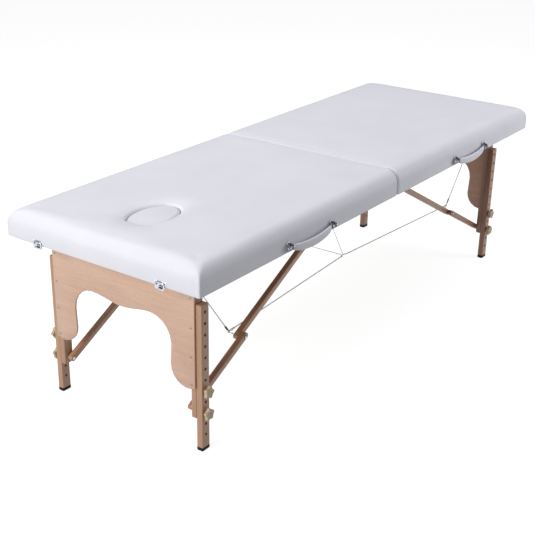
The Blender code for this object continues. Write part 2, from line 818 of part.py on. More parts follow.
def make_handle(side):
    """A padded strap that sags and bows out between two round ends held in its brackets."""
    middle_x = side * HANDLE_CENTRE_X
    half_span = HANDLE_HALF_SPAN - BRACKET_HALF_WIDTH - GAP
    growth = STRAP_MIDDLE_HALF_HEIGHT - STRAP_END_HALF_HEIGHT
    steps = 12
    rings = []
    for x in (-half_span - TRUNNION_LENGTH, -half_span):
        rings.append(strap_ring(middle_x + x, 0.0, TRUNNION_RADIUS, TRUNNION_RADIUS))
    for i in range(steps + 1):
        part = i / steps
        swell = max(math.sin(math.pi * part), 0.0) ** HANDLE_FULLNESS
        x = middle_x + half_span * (2 * part - 1)
        rings.append(strap_ring(x, swell, STRAP_HALF_THICKNESS, STRAP_END_HALF_HEIGHT + growth * swell))
    for x in (half_span, half_span + TRUNNION_LENGTH):
        rings.append(strap_ring(middle_x + x, 0.0, TRUNNION_RADIUS, TRUNNION_RADIUS))
    origin = (middle_x, HANDLE_AXIS_Y, HANDLE_AXIS_Z)
    return loft(END_NAME[side] + "_handle", rings, "white_vinyl", origin)


# The whole bed


def build_leg_frame(side, half):
    """Everything that swings with one leg frame, hung from the rod's axis."""
    end = END_NAME[side]
    pivot = (side * PIVOT_X, 0.0, PIVOT_Z)
    frame = joint(end + "_leg_fold", pivot, half)
    attach([make_end_panel(side, pivot)], frame)
    foot_point, middle_point, top_point = brace_points(side)
    for edge in (NEAR, FAR):
        attach([make_inner_leg(side, edge, pivot)], frame)

        leg_y = edge * sum(OUTER_LEG_Y) / 2
        slide_origin = (side * PIVOT_X, leg_y, 0.0)
        slide = joint(f"{end}_leg_slide_{SIDE_NAME[edge]}", slide_origin, frame)
        attach([make_outer_leg(side, edge, slide_origin), make_rubber_foot(side, edge, slide_origin)], slide)

        for position in range(len(KNOB_HOLES)):
            knob_origin = (side * PIVOT_X, edge * (OUTER_LEG_Y[1] + GAP), knob_height(position))
            attach([make_knob(side, edge, position, knob_origin)], frame)

        suffix = SIDE_NAME[edge]
        lower_origin = (foot_point[0], edge * sum(LOWER_LINK_Y) / 2, foot_point[1])
        lower = make_link(
            f"{end}_lower_brace_{suffix}", foot_point, middle_point, LOWER_LINK_Y, edge, lower_origin
        )
        attach([lower], frame)
        upper_origin = (top_point[0], edge * sum(UPPER_LINK_Y) / 2, top_point[1])
        upper = make_link(
            f"{end}_upper_brace_{suffix}", top_point, middle_point, UPPER_LINK_Y, edge, upper_origin
        )
        attach([upper], half)


def build_half(side, half):
    attach([make_cushion(side), make_deck(side), make_frame(side), make_leg_rod(side)], half)
    for edge in (NEAR, FAR):
        attach([make_hinge_leaf(side, edge), make_side_cable(side, edge)], half)
    attach([make_handle_bracket(side, -1), make_handle_bracket(side, 1), make_handle(side)], half)
    build_leg_frame(side, half)


def build_bed():
    middle = (0.0, 0.0, HINGE_Z)
    head_half = joint("head_half", middle)
    foot_half = joint("foot_half", middle, head_half)
    build_half(HEAD, head_half)
    build_half(FOOT, foot_half)
    attach([make_face_plug(), make_cross_cable()], head_half)
    for edge in (NEAR, FAR):
        attach([make_latch_plate(edge), make_latch_lever(edge)], head_half)
        attach([make_latch_strike(edge)], foot_half)


build_bed()
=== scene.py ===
import math

import bmesh
import bpy
import numpy as np
from mathutils import Matrix, Vector, noise


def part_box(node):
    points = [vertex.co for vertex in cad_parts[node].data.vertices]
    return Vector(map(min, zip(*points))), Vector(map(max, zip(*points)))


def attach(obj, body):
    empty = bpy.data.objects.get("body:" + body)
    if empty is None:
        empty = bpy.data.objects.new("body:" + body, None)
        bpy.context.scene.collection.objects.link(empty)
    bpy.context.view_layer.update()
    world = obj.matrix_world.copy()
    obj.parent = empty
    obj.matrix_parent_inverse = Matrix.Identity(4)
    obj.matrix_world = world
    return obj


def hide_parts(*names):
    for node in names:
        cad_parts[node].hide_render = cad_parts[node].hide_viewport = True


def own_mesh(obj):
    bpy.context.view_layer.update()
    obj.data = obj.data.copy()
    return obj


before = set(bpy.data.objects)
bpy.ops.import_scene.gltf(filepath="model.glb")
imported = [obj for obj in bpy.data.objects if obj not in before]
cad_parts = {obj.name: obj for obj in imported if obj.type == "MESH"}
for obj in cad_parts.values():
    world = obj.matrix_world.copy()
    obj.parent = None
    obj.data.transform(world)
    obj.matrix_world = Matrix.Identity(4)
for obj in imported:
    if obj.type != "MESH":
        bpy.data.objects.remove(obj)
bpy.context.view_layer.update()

# Places from the CAD source, in metres
PAD_BOTTOM = 0.487
PAD_TOP = 0.567
HALF_LENGTH = 0.925
HALF_WIDTH = 0.33
SEAM_X = 0.0005
SKIRT = 0.0029
DECK_TOP = 0.5385
HOLE = (-0.710, 0.0)
HOLE_SEMI = (0.088, 0.0565)
HOLE_WINDOW = (0.115, 0.085)
PLUG_SEMI = (0.0858, 0.0552)
PIVOT_X = 0.8265
LEG_Y = (0.2470, 0.2658)
LEG_Z = (0.0100, 0.4190)
LEG_DEPTH = 0.0295
FIRST_HOLE_Z = 0.399
HOLE_PITCH = 0.032
HOLE_RADIUS = 0.0040
HOLE_COUNT = 12
BRACE_FOOT = (0.8265, 0.113)
BRACE_MIDDLE = (0.6084, 0.2293)
BRACE_TOP = (0.085, 0.5085)
LOWER_LINK_Y = (0.2112, 0.2272)
UPPER_LINK_Y = (0.1947, 0.2107)
PANEL_FACE_X = 0.8476
PANEL_SCREW_Z = (0.435, 0.353, 0.272, 0.192)
KNOBS = {"upper": (0.175, 0.0), "lower": (0.111, math.pi / 2)}  # height and turn
EYE = (0.631, 0.188, 0.244)
JUNCTION = (0.0, 0.154, 0.25)
HANDLE_X = 0.4665
HANDLE_HALF_SPAN = 0.101
HANDLE_AXIS = (-0.338, 0.504)
HANDLE_SAG = 0.011
HANDLE_BOW = 0.0080
BRACKET_Z = (0.490, 0.518)
BRACKET_HALF_WIDTH = 0.009
LATCH_Y = 0.21
LATCH_FACE = -0.9268
SINK = 0.0002
SEAM_EDGE = 0.004
OUTER_EDGE = 0.036
SEAM_CORNER = 0.009
OUTER_CORNER = 0.0045
DISH_DEPTH = 0.0052
DISH_WIDTH = 0.018
ROPE = (6, 420.0)  # strands, and their turn in radians per metre

HEAD, FOOT = -1, 1
NEAR, FAR = -1, 1
END = {HEAD: "head", FOOT: "foot"}
SIDE = {NEAR: "near", FAR: "far"}


# Node graphs


class Graph:
    """A small writer of shader nodes."""

    def __init__(self, name):
        self.material = bpy.data.materials.new(name)
        self.material.use_nodes = True
        self.tree = self.material.node_tree
        self.shader = self.tree.nodes["Principled BSDF"]
        self.place = self.node("ShaderNodeTexCoord").outputs["Object"]

    def node(self, kind, **settings):
        made = self.tree.nodes.new(kind)
        for key, value in settings.items():
            setattr(made, key, value)
        return made

    def feed(self, socket, value):
        """Links a socket, or sets it where the value is a number or a tuple."""
        if isinstance(value, bpy.types.NodeSocket):
            self.tree.links.new(value, socket)
        else:
            socket.default_value = value

    def fill(self, node, **values):
        for key, value in values.items():
            self.feed(node.inputs[key.replace("_", " ")], value)
        return node

    def set(self, **values):
        self.fill(self.shader, **values)

    def turned(self, scale, rotation=(0.0, 0.0, 0.0)):
        """Object coordinates turned so that the grain lies on X, then scaled."""
        made = self.node("ShaderNodeMapping", vector_type="TEXTURE")
        self.fill(made, Rotation=rotation, Scale=[1.0 / s for s in scale], Vector=self.place)
        return made.outputs["Vector"]

    def noise(self, vector, scale, detail=3.0, roughness=0.55, distortion=0.0):
        made = self.node("ShaderNodeTexNoise")
        self.fill(made, Vector=vector, Scale=scale, Detail=detail, Roughness=roughness, Distortion=distortion)
        return made.outputs["Fac"]

    def ramp(self, value, *stops):
        made = self.node("ShaderNodeValToRGB")
        points = made.color_ramp.elements
        while len(points) < len(stops):
            points.new(0.5)
        for point, (position, color) in zip(points, stops):
            point.position = position
            point.color = (*color, 1.0) if isinstance(color, tuple) else (color, color, color, 1.0)
        self.fill(made, Fac=value)
        return made.outputs["Color"]

    def mix(self, kind, factor, first, second):
        made = self.node("ShaderNodeMix", data_type="RGBA", blend_type=kind)
        for name, sort, value in (("Factor", "VALUE", factor), ("A", "RGBA", first), ("B", "RGBA", second)):
            value = (*value, 1.0) if isinstance(value, tuple) else value
            self.feed(next(s for s in made.inputs if (s.name, s.type) == (name, sort)), value)
        return next(s for s in made.outputs if s.type == "RGBA")

    def math(self, operation, first, second=0.0):
        made = self.node("ShaderNodeMath", operation=operation)
        self.feed(made.inputs[0], first)
        self.feed(made.inputs[1], second)
        return made.outputs[0]

    def bump(self, *layers):
        """Each layer is (height, strength, distance in metres)."""
        last = None
        for height, strength, distance in layers:
            made = self.fill(self.node("ShaderNodeBump"), Height=height, Strength=strength, Distance=distance)
            if last is not None:
                self.fill(made, Normal=last)
            last = made.outputs["Normal"]
        self.set(Normal=last)

    def color(self, socket):
        self.set(Base_Color=socket)

    def rough(self, value, low, high):
        made = self.fill(self.node("ShaderNodeMapRange"), Value=value, To_Min=low, To_Max=high)
        self.set(Roughness=made.outputs["Result"])


def make_vinyl():
    """White vinyl: slow changes of tone, small leather cells with wavering edges and painted shade a few
    percent dark in the grooves between them, and a slight coat.
    """
    g = Graph("white_vinyl_leather")
    tone = g.ramp(g.noise(g.place, 6.0, 4.0), (0.3, (0.745, 0.742, 0.802)), (0.7, (0.785, 0.782, 0.838)))
    shift = g.fill(g.node("ShaderNodeVectorMath", operation="SCALE"), Scale=0.0012)
    g.feed(shift.inputs[0], g.noise(g.place, 300.0, 2.0, 0.5).node.outputs["Color"])
    warp = g.node("ShaderNodeVectorMath", operation="ADD")
    g.feed(warp.inputs[0], g.place)
    g.feed(warp.inputs[1], shift.outputs["Vector"])
    grain = g.node("ShaderNodeTexVoronoi", feature="DISTANCE_TO_EDGE")
    g.fill(grain, Scale=720.0, Vector=warp.outputs["Vector"])
    cells = g.ramp(grain.outputs["Distance"], (0.0, 0.0), (0.16, 1.0))
    # Painted shade: the colour darkens by up to 6 percent in the grooves between the leather cells.
    g.color(g.mix("MULTIPLY", 0.06, tone, cells))
    g.rough(g.noise(g.place, 420.0, 2.0), 0.48, 0.60)
    g.bump((g.noise(g.place, 70.0, 3.0), 0.08, 0.0006), (cells, 0.16, 0.0002))
    g.set(Specular_IOR_Level=0.32, Coat_Weight=0.03, Coat_Roughness=0.40)
    return g.material


def make_wood(name, light, dark, axis="X", tilt=0.0, stretch=1.0, rough=(0.32, 0.50), coat=0.18):
    """Beech-like wood with the grain along an axis, or tilted from X about Y."""
    g = Graph(name)
    turn = {"X": (0.0, tilt, 0.0), "Y": (0.0, 0.0, math.pi / 2), "Z": (0.0, math.pi / 2, 0.0)}[axis]
    middle = tuple((a + b) / 2 for a, b in zip(light, dark))
    streaks = g.noise(g.turned((2.2 * stretch, 34.0, 34.0), turn), 1.0, 5.0, 0.6, 0.5)
    base = g.ramp(streaks, (0.28, dark), (0.50, middle), (0.68, light))
    fibre = g.noise(g.turned((14.0, 620.0, 620.0), turn), 1.0, 3.0, 0.6)
    base = g.mix("MULTIPLY", 0.30, base, g.ramp(fibre, (0.34, 0.62), (0.60, 1.0)))
    flecks = g.noise(g.turned((90.0, 900.0, 900.0), turn), 1.0, 1.0, 0.5)
    marks = g.ramp(flecks, (0.27, 1.0), (0.35, 0.0))
    base = g.mix("MIX", g.math("MULTIPLY", marks, 0.40), base, PORE_WOOD)
    tone = g.noise(g.place, 5.0, 2.0)
    base = g.mix("MULTIPLY", 0.5, base, g.ramp(tone, (0.30, (0.90, 0.86, 0.84)), (0.72, (1.0, 1.0, 1.0))))
    g.color(base)
    g.rough(fibre, *rough)
    g.bump((streaks, 0.10, 0.0010), (fibre, 0.22, 0.0002), (marks, 0.18, 0.0002))
    g.set(Specular_IOR_Level=0.45, Coat_Weight=coat, Coat_Roughness=0.22)
    return g


def make_plies(name, light, dark, thickness, ply_axis, grain="Y"):
    """Plywood: face grain on the flat sides and stacked plies on the cut edge."""
    g = make_wood(name, light, dark, axis=grain, stretch=0.8)
    faces = g.shader.inputs["Base Color"].links[0].from_socket
    split = g.fill(g.node("ShaderNodeSeparateXYZ"), Vector=g.place)
    layer = g.math("MULTIPLY", split.outputs[ply_axis], 1.0 / thickness)
    wobble = g.math("MULTIPLY", g.noise(g.place, 40.0, 2.0), 0.25)
    stripe = g.math("FRACT", g.math("ABSOLUTE", g.math("ADD", layer, wobble)))
    bands = g.ramp(stripe, (0.42, dark), (0.50, light), (0.94, light), (1.0, dark))
    normal = g.node("ShaderNodeNewGeometry").outputs["True Normal"]
    facing = g.fill(g.node("ShaderNodeSeparateXYZ"), Vector=normal)
    flat = g.math("GREATER_THAN", g.math("ABSOLUTE", facing.outputs[ply_axis]), 0.7)
    g.color(g.mix("MIX", flat, bands, faces))
    return g.material


def make_metal(name, color, rough, scale=220.0, bump=0.06, spread=0.10):
    g = Graph(name)
    marks = g.noise(g.place, scale, 4.0, 0.65)
    smear = g.noise(g.turned((30.0, 300.0, 300.0)), 1.0, 3.0)
    low = tuple(c * 0.86 for c in color)
    g.color(g.ramp(marks, (0.3, low), (0.7, color)))
    g.rough(smear, rough, rough + spread)
    g.bump((marks, bump, 0.0002))
    g.set(Metallic=1.0)
    return g.material


def make_rubber(name, tone):
    g = Graph(name)
    fine = g.noise(g.place, 700.0, 3.0)
    g.color(g.ramp(fine, (0.3, tone * 0.7), (0.7, tone * 1.5)))
    g.rough(fine, 0.52, 0.72)
    g.bump((fine, 0.25, 0.0002))
    g.set(Specular_IOR_Level=0.18)
    return g.material


def make_knob_plastic():
    g = Graph("knob_plastic")
    specks = g.noise(g.place, 900.0, 2.0, 0.7)
    cloud = g.noise(g.place, 90.0, 3.0)
    base = g.ramp(cloud, (0.3, (0.47, 0.365, 0.225)), (0.7, (0.58, 0.465, 0.300)))
    g.color(g.mix("MULTIPLY", 0.4, base, g.ramp(specks, (0.34, 0.55), (0.46, 1.0))))
    g.rough(cloud, 0.34, 0.50)
    g.bump((specks, 0.10, 0.0002))
    g.set(Specular_IOR_Level=0.5)
    return g.material


# The light and dark tone of each wood, which the photograph shows redder at the foot end. The foot-end woods
# and the brace woods are painted shade: redder, deeper copies for parts that stand in shade.
PORE_WOOD = (0.26, 0.13, 0.065)
# Painted shade: a darker, redder copy of the beech, used by the foot-end uprights and braces for the shade
# they stand in.
RED_PAINTED_SHADE_WOOD = ((0.40, 0.212, 0.132), (0.29, 0.142, 0.082))
UPRIGHT_WOOD = {HEAD: ((0.51, 0.310, 0.192), (0.39, 0.215, 0.125)), FOOT: RED_PAINTED_SHADE_WOOD}
# Painted shade: the brace woods at both ends are redder, deeper copies of the upright beech.
PAINTED_SHADE_LINK_WOOD = {HEAD: ((0.56, 0.310, 0.185), (0.38, 0.180, 0.095)), FOOT: RED_PAINTED_SHADE_WOOD}
PANEL_WOOD = {
    HEAD: ((0.69, 0.470, 0.350), (0.62, 0.400, 0.290)),
    # Painted shade: the foot-end panel ply is a redder copy for its face in shade.
    FOOT: ((0.76, 0.43, 0.30), (0.64, 0.345, 0.23)),
}
DECK_WOOD = ((0.56, 0.42, 0.28), (0.46, 0.33, 0.21))
RAIL_WOOD = ((0.58, 0.42, 0.27), (0.48, 0.33, 0.20))
PANEL_PLY_THICKNESS = 0.0024
DECK_PLY_THICKNESS = 0.0018
BRACE_TILT = math.atan2(BRACE_TOP[1] - BRACE_FOOT[1], BRACE_FOOT[0] - BRACE_TOP[0])

VINYL = make_vinyl()
BEECH_UP, BEECH_LINK_PAINTED_SHADE, PANEL_PLY = {}, {}, {}
for half, title in END.items():
    BEECH_UP[half] = make_wood(f"beech_wood_{title}_upright", *UPRIGHT_WOOD[half], axis="Z").material
    link = make_wood(f"beech_wood_{title}_link", *PAINTED_SHADE_LINK_WOOD[half], tilt=half * BRACE_TILT)
    BEECH_LINK_PAINTED_SHADE[half] = link.material
    PANEL_PLY[half] = make_plies(f"panel_plywood_{title}", *PANEL_WOOD[half], PANEL_PLY_THICKNESS, "X")
DECK_PLY = make_plies("deck_plywood", *DECK_WOOD, DECK_PLY_THICKNESS, "Z", "X")
FRAME_WOOD = make_wood("frame_wood", *RAIL_WOOD, rough=(0.5, 0.68), coat=0.0).material
STEEL = make_metal("zinc_steel", (0.62, 0.63, 0.65), 0.28)
CHROME = make_metal("chrome", (0.80, 0.81, 0.84), 0.08, bump=0.03, spread=0.08)
CABLE_STEEL = make_metal("steel_cable", (0.38, 0.38, 0.41), 0.38)
# Dark steel for washers and dark screws, and painted shade for the insides of cross recesses.
DARK_STEEL_AND_RECESS_SHADE = make_metal("dark_steel_and_recess_shade", (0.10, 0.10, 0.11), 0.35)
LATCH = make_metal("latch_plating", (0.60, 0.62, 0.70), 0.24)
BRACKET_METAL = make_metal("bracket_plating", (0.42, 0.425, 0.46), 0.26)
PANEL_SCREW = make_metal("brass_plating", (0.40, 0.33, 0.235), 0.38)
# Black rubber for the feet and the latch rivet, and painted shade filling the latch opening.
RUBBER_AND_OPENING_SHADE = make_rubber("black_rubber", 0.006)
SLEEVE = make_rubber("black_sleeve", 0.018)
KNOB = make_knob_plastic()


# Mesh helpers


def circle(steps):
    """Evenly spaced angles of a full turn."""
    return [math.tau * i / steps for i in range(steps)]


def add_object(name, data):
    made = bpy.data.objects.new(name, data)
    bpy.context.scene.collection.objects.link(made)
    return made


def add_mesh(name, points, faces, material):
    data = bpy.data.meshes.new(name)
    data.from_pydata([tuple(p) for p in points], [], faces)
    data.validate()
    data.update()
    data.materials.append(material)
    data.shade_smooth()
    return add_object(name, data)


def skin(rings, close_ends=True, first=0):
    """Faces between rings of the same length, given as a count of rings and of points in each."""
    count, size = rings
    faces = []
    for k in range(count - 1):
        low, high = first + k * size, first + (k + 1) * size
        for i in range(size):
            j = (i + 1) % size
            faces.append((low + i, low + j, high + j, high + i))
    if close_ends:
        faces.append(tuple(first + i for i in reversed(range(size))))
        faces.append(tuple(first + (count - 1) * size + i for i in range(size)))
    return faces


def hull(name, rings, material):
    """A closed mesh through rings that all have the same number of points."""
    made = add_mesh(name, [p for ring in rings for p in ring], skin((len(rings), len(rings[0]))), material)
    outward(made)
    return made


def loft(name, rings, material, body, smooth_angle):
    made = hull(name, rings, material)
    made.data.set_sharp_from_angle(angle=math.radians(smooth_angle))
    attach(made, body)
    return made


def outward(item):
    """Turns every face outward."""
    work = bmesh.new()
    work.from_mesh(item.data)
    bmesh.ops.recalc_face_normals(work, faces=work.faces)
    work.to_mesh(item.data)
    work.free()


def merge(name, items, body, smooth_angle=40.0):
    """Joins several made meshes into one piece, which rides on a body unless that is None."""
    points, faces, materials, indices = [], [], [], []
    for item in items:
        base = len(points)
        points += [tuple(item.matrix_world @ v.co) for v in item.data.vertices]
        material = item.data.materials[0]
        if material not in materials:
            materials.append(material)
        for face in item.data.polygons:
            faces.append(tuple(base + i for i in face.vertices))
            indices.append(materials.index(material))
        bpy.data.objects.remove(item)
    made = add_mesh(name, points, faces, materials[0])
    for material in materials[1:]:
        made.data.materials.append(material)
    made.data.polygons.foreach_set("material_index", indices)
    outward(made)
    made.data.set_sharp_from_angle(angle=math.radians(smooth_angle))
    if body:
        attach(made, body)
    return made


def placed(rings, origin, axis):
    """Rings made along Z, moved to an origin with Z along an axis."""
    turn = Vector(axis).to_track_quat("Z", "Y").to_matrix()
    return [[tuple(turn @ Vector(p) + Vector(origin)) for p in ring] for ring in rings]


def lathe(name, profile, origin, axis, material, steps=24):
    """A profile of (radius, height) rows turned about an axis."""
    rings = [[(r * math.cos(t), r * math.sin(t), z) for t in circle(steps)] for r, z in profile]
    return hull(name, placed(rings, origin, axis), material)


def soft_block(name, low, high, edge, material):
    """A box with every edge cut three times, so that no corner is left sharp."""
    low, high = Vector(low), Vector(high)
    middle, half = (low + high) / 2, (high - low) / 2
    work = bmesh.new()
    bmesh.ops.create_cube(work, size=2.0)
    for v in work.verts:
        v.co = Vector((v.co[i] * half[i] for i in range(3))) + middle
    bmesh.ops.bevel(work, geom=work.edges[:], offset=edge, segments=3, profile=0.5, affect="EDGES")
    data = bpy.data.meshes.new(name)
    work.to_mesh(data)
    work.free()
    data.materials.append(material)
    data.shade_smooth()
    return add_object(name, data)


def screw(origin, axis, radius, material=STEEL):
    """A raised countersunk head with a cross recess, whose arms are dark blocks that paint the shade inside
    it, as a list of meshes.
    """
    outline = ((1.0, 0.0), (1.0, 0.10), (0.86, 0.27), (0.55, 0.40), (0.30, 0.43))
    made = [lathe("head", [(radius * r, radius * z) for r, z in outline], origin, axis, material, 20)]
    first_slot, slot_half_length, slot_half_width = 0.6, radius * 0.58, radius * 0.11
    # Painted shade: each arm of the cross recess is a raised dark block standing for the shade inside the
    # recess.
    for angle in (first_slot, first_slot + math.pi / 2):
        along = Vector((math.cos(angle), math.sin(angle), 0.0))
        across = Vector((-along.y, along.x, 0.0)) * slot_half_width
        length = along * slot_half_length
        corners = ((-1, -1), (1, -1), (1, 1), (-1, 1))
        rings = [
            [Vector((0.0, 0.0, z)) + sx * length + sy * across for sx, sy in corners]
            for z in (radius * 0.2, radius * 0.455)
        ]
        made.append(hull("slot", placed(rings, origin, axis), DARK_STEEL_AND_RECESS_SHADE))
    return made


# Upholstery


def spaced(low, high, fine, coarse):
    """Positions from low to high, finely spaced at both ends."""
    steps = [low + f for f in fine]
    inner_low, inner_high = low + fine[-1], high - fine[-1]
    count = max(2, round((inner_high - inner_low) / coarse))
    steps += [inner_low + (inner_high - inner_low) * i / count for i in range(1, count)]
    steps += [high - f for f in reversed(fine)]
    return steps


def border(nx, ny):
    """Grid indices round the edge of an nx by ny grid, counterclockwise."""
    loop = [(i, 0) for i in range(nx - 1)]
    loop += [(nx - 1, j) for j in range(ny - 1)]
    loop += [(i, ny - 1) for i in range(nx - 1, 0, -1)]
    return loop + [(0, j) for j in range(ny - 1, 0, -1)]


def ease(value, low, high):
    t = min(max((value - low) / (high - low), 0.0), 1.0)
    return t * t * (3 - 2 * t)


def rounded_plan(x, y, span, insets, radius):
    """Moves a point of the plan rectangle onto the inset one, with rounded corners that fade inward.

    Insets are for the low x, the high x and both long sides. Radius is for the low-x and high-x corners.
    """
    x0, x1 = span
    cx, a, b = (x0 + x1) / 2, (x1 - x0) / 2, HALF_WIDTH
    depth = min(a - abs(x - cx), b - abs(y))
    low, high, sides = insets
    x = x0 + low + (x - x0) * (2 * a - low - high) / (2 * a)
    v = y * (b - sides) / b
    cx, a = (x0 + low + x1 - high) / 2, a - (low + high) / 2
    u = x - cx
    reach_a, reach_b = a - depth, b - sides - depth
    r = max(radius[0 if u < 0 else 1] - depth, 0.0)
    qx = max(-(reach_a - r), min(reach_a - r, u))
    qy = max(-(reach_b - r), min(reach_b - r, v))
    dx, dy = u - qx, v - qy
    length = math.hypot(dx, dy)
    if r > 0 and length > 1e-9:
        u, v = qx + dx / length * r, qy + dy / length * r
    return cx + u, v


class Shell:
    """Points and quads of a closed cover, with the vertices that the simulation holds."""

    def __init__(self):
        self.points, self.faces, self.held = [], [], []

    def add(self, points):
        first = len(self.points)
        self.points += points
        return list(range(first, first + len(points)))

    def strip(self, one, two):
        size = len(one)
        for i in range(size):
            j = (i + 1) % size
            self.faces.append((one[i], one[j], two[j], two[i]))

    def extend(self, last, points):
        """Adds a ring joined to the last one."""
        now = self.add(points)
        self.strip(last, now)
        return now


def cover_shell(side, drop):
    """The cover of one half: top, wrapped sides and turned-in hem, with a hole through the head half."""
    x0, x1 = (-HALF_LENGTH, -SEAM_X) if side == HEAD else (SEAM_X, HALF_LENGTH)
    fine, coarse = [0.0, 0.003, 0.007, 0.011, 0.016, 0.022, 0.030, 0.040], 0.0125
    xs = spaced(x0, x1, fine, coarse)
    ys = spaced(-HALF_WIDTH, HALF_WIDTH, fine, coarse)
    nx, ny = len(xs), len(ys)
    edge = border(nx, ny)
    shell = Shell()
    top = PAD_TOP - drop

    def edge_radius(x, y):
        """The rounding of the top edge: small at the seam between the halves, except near its two ends."""
        if abs(x) > SEAM_X + 1e-6:
            return OUTER_EDGE
        return SEAM_EDGE + (OUTER_EDGE - SEAM_EDGE) * ease(abs(y), HALF_WIDTH - 0.055, HALF_WIDTH)

    def plan(x, y, share, grow):
        """Share is how far the edge has turned in, and grow a plain inset as well."""
        seam, outer = SEAM_EDGE * share + grow, OUTER_EDGE * share + grow
        ends = (outer, seam) if side == HEAD else (seam, outer)
        tight = SEAM_CORNER + 0.7 * SEAM_EDGE * share - min(grow, SEAM_CORNER * 0.6)
        wide = OUTER_CORNER + 0.85 * OUTER_EDGE * share - min(grow, OUTER_CORNER * 0.6)
        corners = (wide, tight) if side == HEAD else (tight, wide)
        return rounded_plan(x, y, (x0, x1), (*ends, outer), corners)

    def crown(x, y):
        """The height of the top, which dips round the face hole."""
        if side == FOOT:
            return top
        reach = math.hypot((x - HOLE[0]) / HOLE_SEMI[0], (y - HOLE[1]) / HOLE_SEMI[1])
        away = max(0.0, (reach - 1.0) * 0.07)
        return top - DISH_DEPTH * math.exp(-((away / DISH_WIDTH) ** 1.6))

    def sheet(z, share, grow, dished):
        """A grid of faces with the window left open. The dished one faces up, and the other down."""
        ids = {}
        for j, y in enumerate(ys):
            for i, x in enumerate(xs):
                if (i, j) not in skip:
                    px, py = plan(x, y, share, grow)
                    ids[i, j] = shell.add([(px, py, crown(px, py) if dished else z)])[0]
        for j in range(ny - 1):
            for i in range(nx - 1):
                quad = [(i, j), (i + 1, j), (i + 1, j + 1), (i, j + 1)]
                if all(q in ids for q in quad):
                    face = [ids[q] for q in quad]
                    shell.faces.append(tuple(face if dished else reversed(face)))
        return ids

    skip, loop = set(), []
    if side == HEAD:
        a, b = HOLE_WINDOW
        i0, i1 = (min(range(nx), key=lambda i: abs(xs[i] - t)) for t in (HOLE[0] - a, HOLE[0] + a))
        j0, j1 = (min(range(ny), key=lambda j: abs(ys[j] - t)) for t in (-b, b))
        skip = {(i, j) for i in range(i0 + 1, i1) for j in range(j0 + 1, j1)}
        loop = [(i0 + i, j0 + j) for i, j in border(i1 - i0 + 1, j1 - j0 + 1)]
    upper = sheet(top, 1.0, 0.0, True)
    lower = sheet(DECK_TOP, 0.0, SKIRT, False)

    def ring(last, height, share, grow=0.0):
        """Adds a ring below the last. Height is a function of the place on the edge before it is rounded."""
        now = shell.add([(*plan(xs[i], ys[j], share, grow), height(xs[i], ys[j])) for i, j in edge])
        shell.strip(now, last)
        return now

    last = [upper[q] for q in edge]
    turns, steps, low = 8, 5, PAD_BOTTOM + 0.001
    for k in range(1, turns + 1):
        angle = math.pi / 2 * k / turns
        last = ring(last, lambda x, y: top - edge_radius(x, y) * (1 - math.cos(angle)), 1 - math.sin(angle))
    for k in range(1, steps + 1):
        last = ring(last, lambda x, y: low + (top - edge_radius(x, y) - low) * (1 - k / steps), 0.0)
    shell.held += last
    hem = ((PAD_BOTTOM, 0.0008), (PAD_BOTTOM, SKIRT - 0.0006), (PAD_BOTTOM + 0.0008, SKIRT))
    for z, grow in (*hem, (0.505, SKIRT), (0.523, SKIRT)):
        last = ring(last, lambda x, y: z, 0.0, grow)
        shell.held += last
    shell.strip([lower[q] for q in edge], last)
    shell.held += list(lower.values())

    if side == HEAD:
        outer = [upper[q] for q in loop]
        corners = [shell.points[i] for i in outer]
        rim = 0.011
        aims = [math.atan2((y - HOLE[1]) / b, (x - HOLE[0]) / a) for x, y, _ in corners]

        def oval(grow, z):
            wide, deep = HOLE_SEMI[0] + grow, HOLE_SEMI[1] + grow
            return [(HOLE[0] + wide * math.cos(t), HOLE[1] + deep * math.sin(t), z) for t in aims]

        target = oval(rim, top)
        last = outer
        for t in (0.25, 0.48, 0.68, 0.86, 1.0):
            flat = [tuple(p[k] + (q[k] - p[k]) * t for k in range(2)) for p, q in zip(corners, target)]
            last = shell.extend(last, [(x, y, crown(x, y)) for x, y in flat])
        brink = [shell.points[i][2] for i in last]
        for k in range(1, 6):
            angle = math.pi / 2 * k / 5
            flat = oval(rim * (1 - math.sin(angle)), 0.0)
            down = rim * (1 - math.cos(angle))
            last = shell.extend(last, [(x, y, z - down) for (x, y, _), z in zip(flat, brink)])
        for z in (0.5485, 0.5440, DECK_TOP):
            last = shell.extend(last, oval(0.0, z))
            shell.held += last
        floor = [lower[q] for q in loop]
        pairs = [(shell.points[i], shell.points[j]) for i, j in zip(floor, last)]
        last = shell.extend(last, [tuple((p[k] + q[k]) / 2 for k in range(3)) for p, q in pairs])
        shell.held += last
        shell.strip(last, floor)
    return shell


def spread_out(move, item, held, rounds):
    """Averages the movement of each point with its neighbours', so that no single point stands out."""
    ends = np.array([e.vertices[:] for e in item.data.edges])
    count = np.bincount(ends.ravel(), minlength=len(move))[:, None]
    for _ in range(rounds):
        total = np.zeros_like(move)
        np.add.at(total, ends[:, 0], move[ends[:, 1]])
        np.add.at(total, ends[:, 1], move[ends[:, 0]])
        move = 0.4 * move + 0.6 * total / np.maximum(count, 1)
        move[held] = 0.0
    return move


CLOTH = {"quality": 6, "mass": 0.4, "use_pressure": True, "vertex_group_mass": "held"}
CLOTH |= {"tension_stiffness": 18.0, "compression_stiffness": 18.0}
CLOTH |= {"shear_stiffness": 8.0, "bending_stiffness": 1.5}


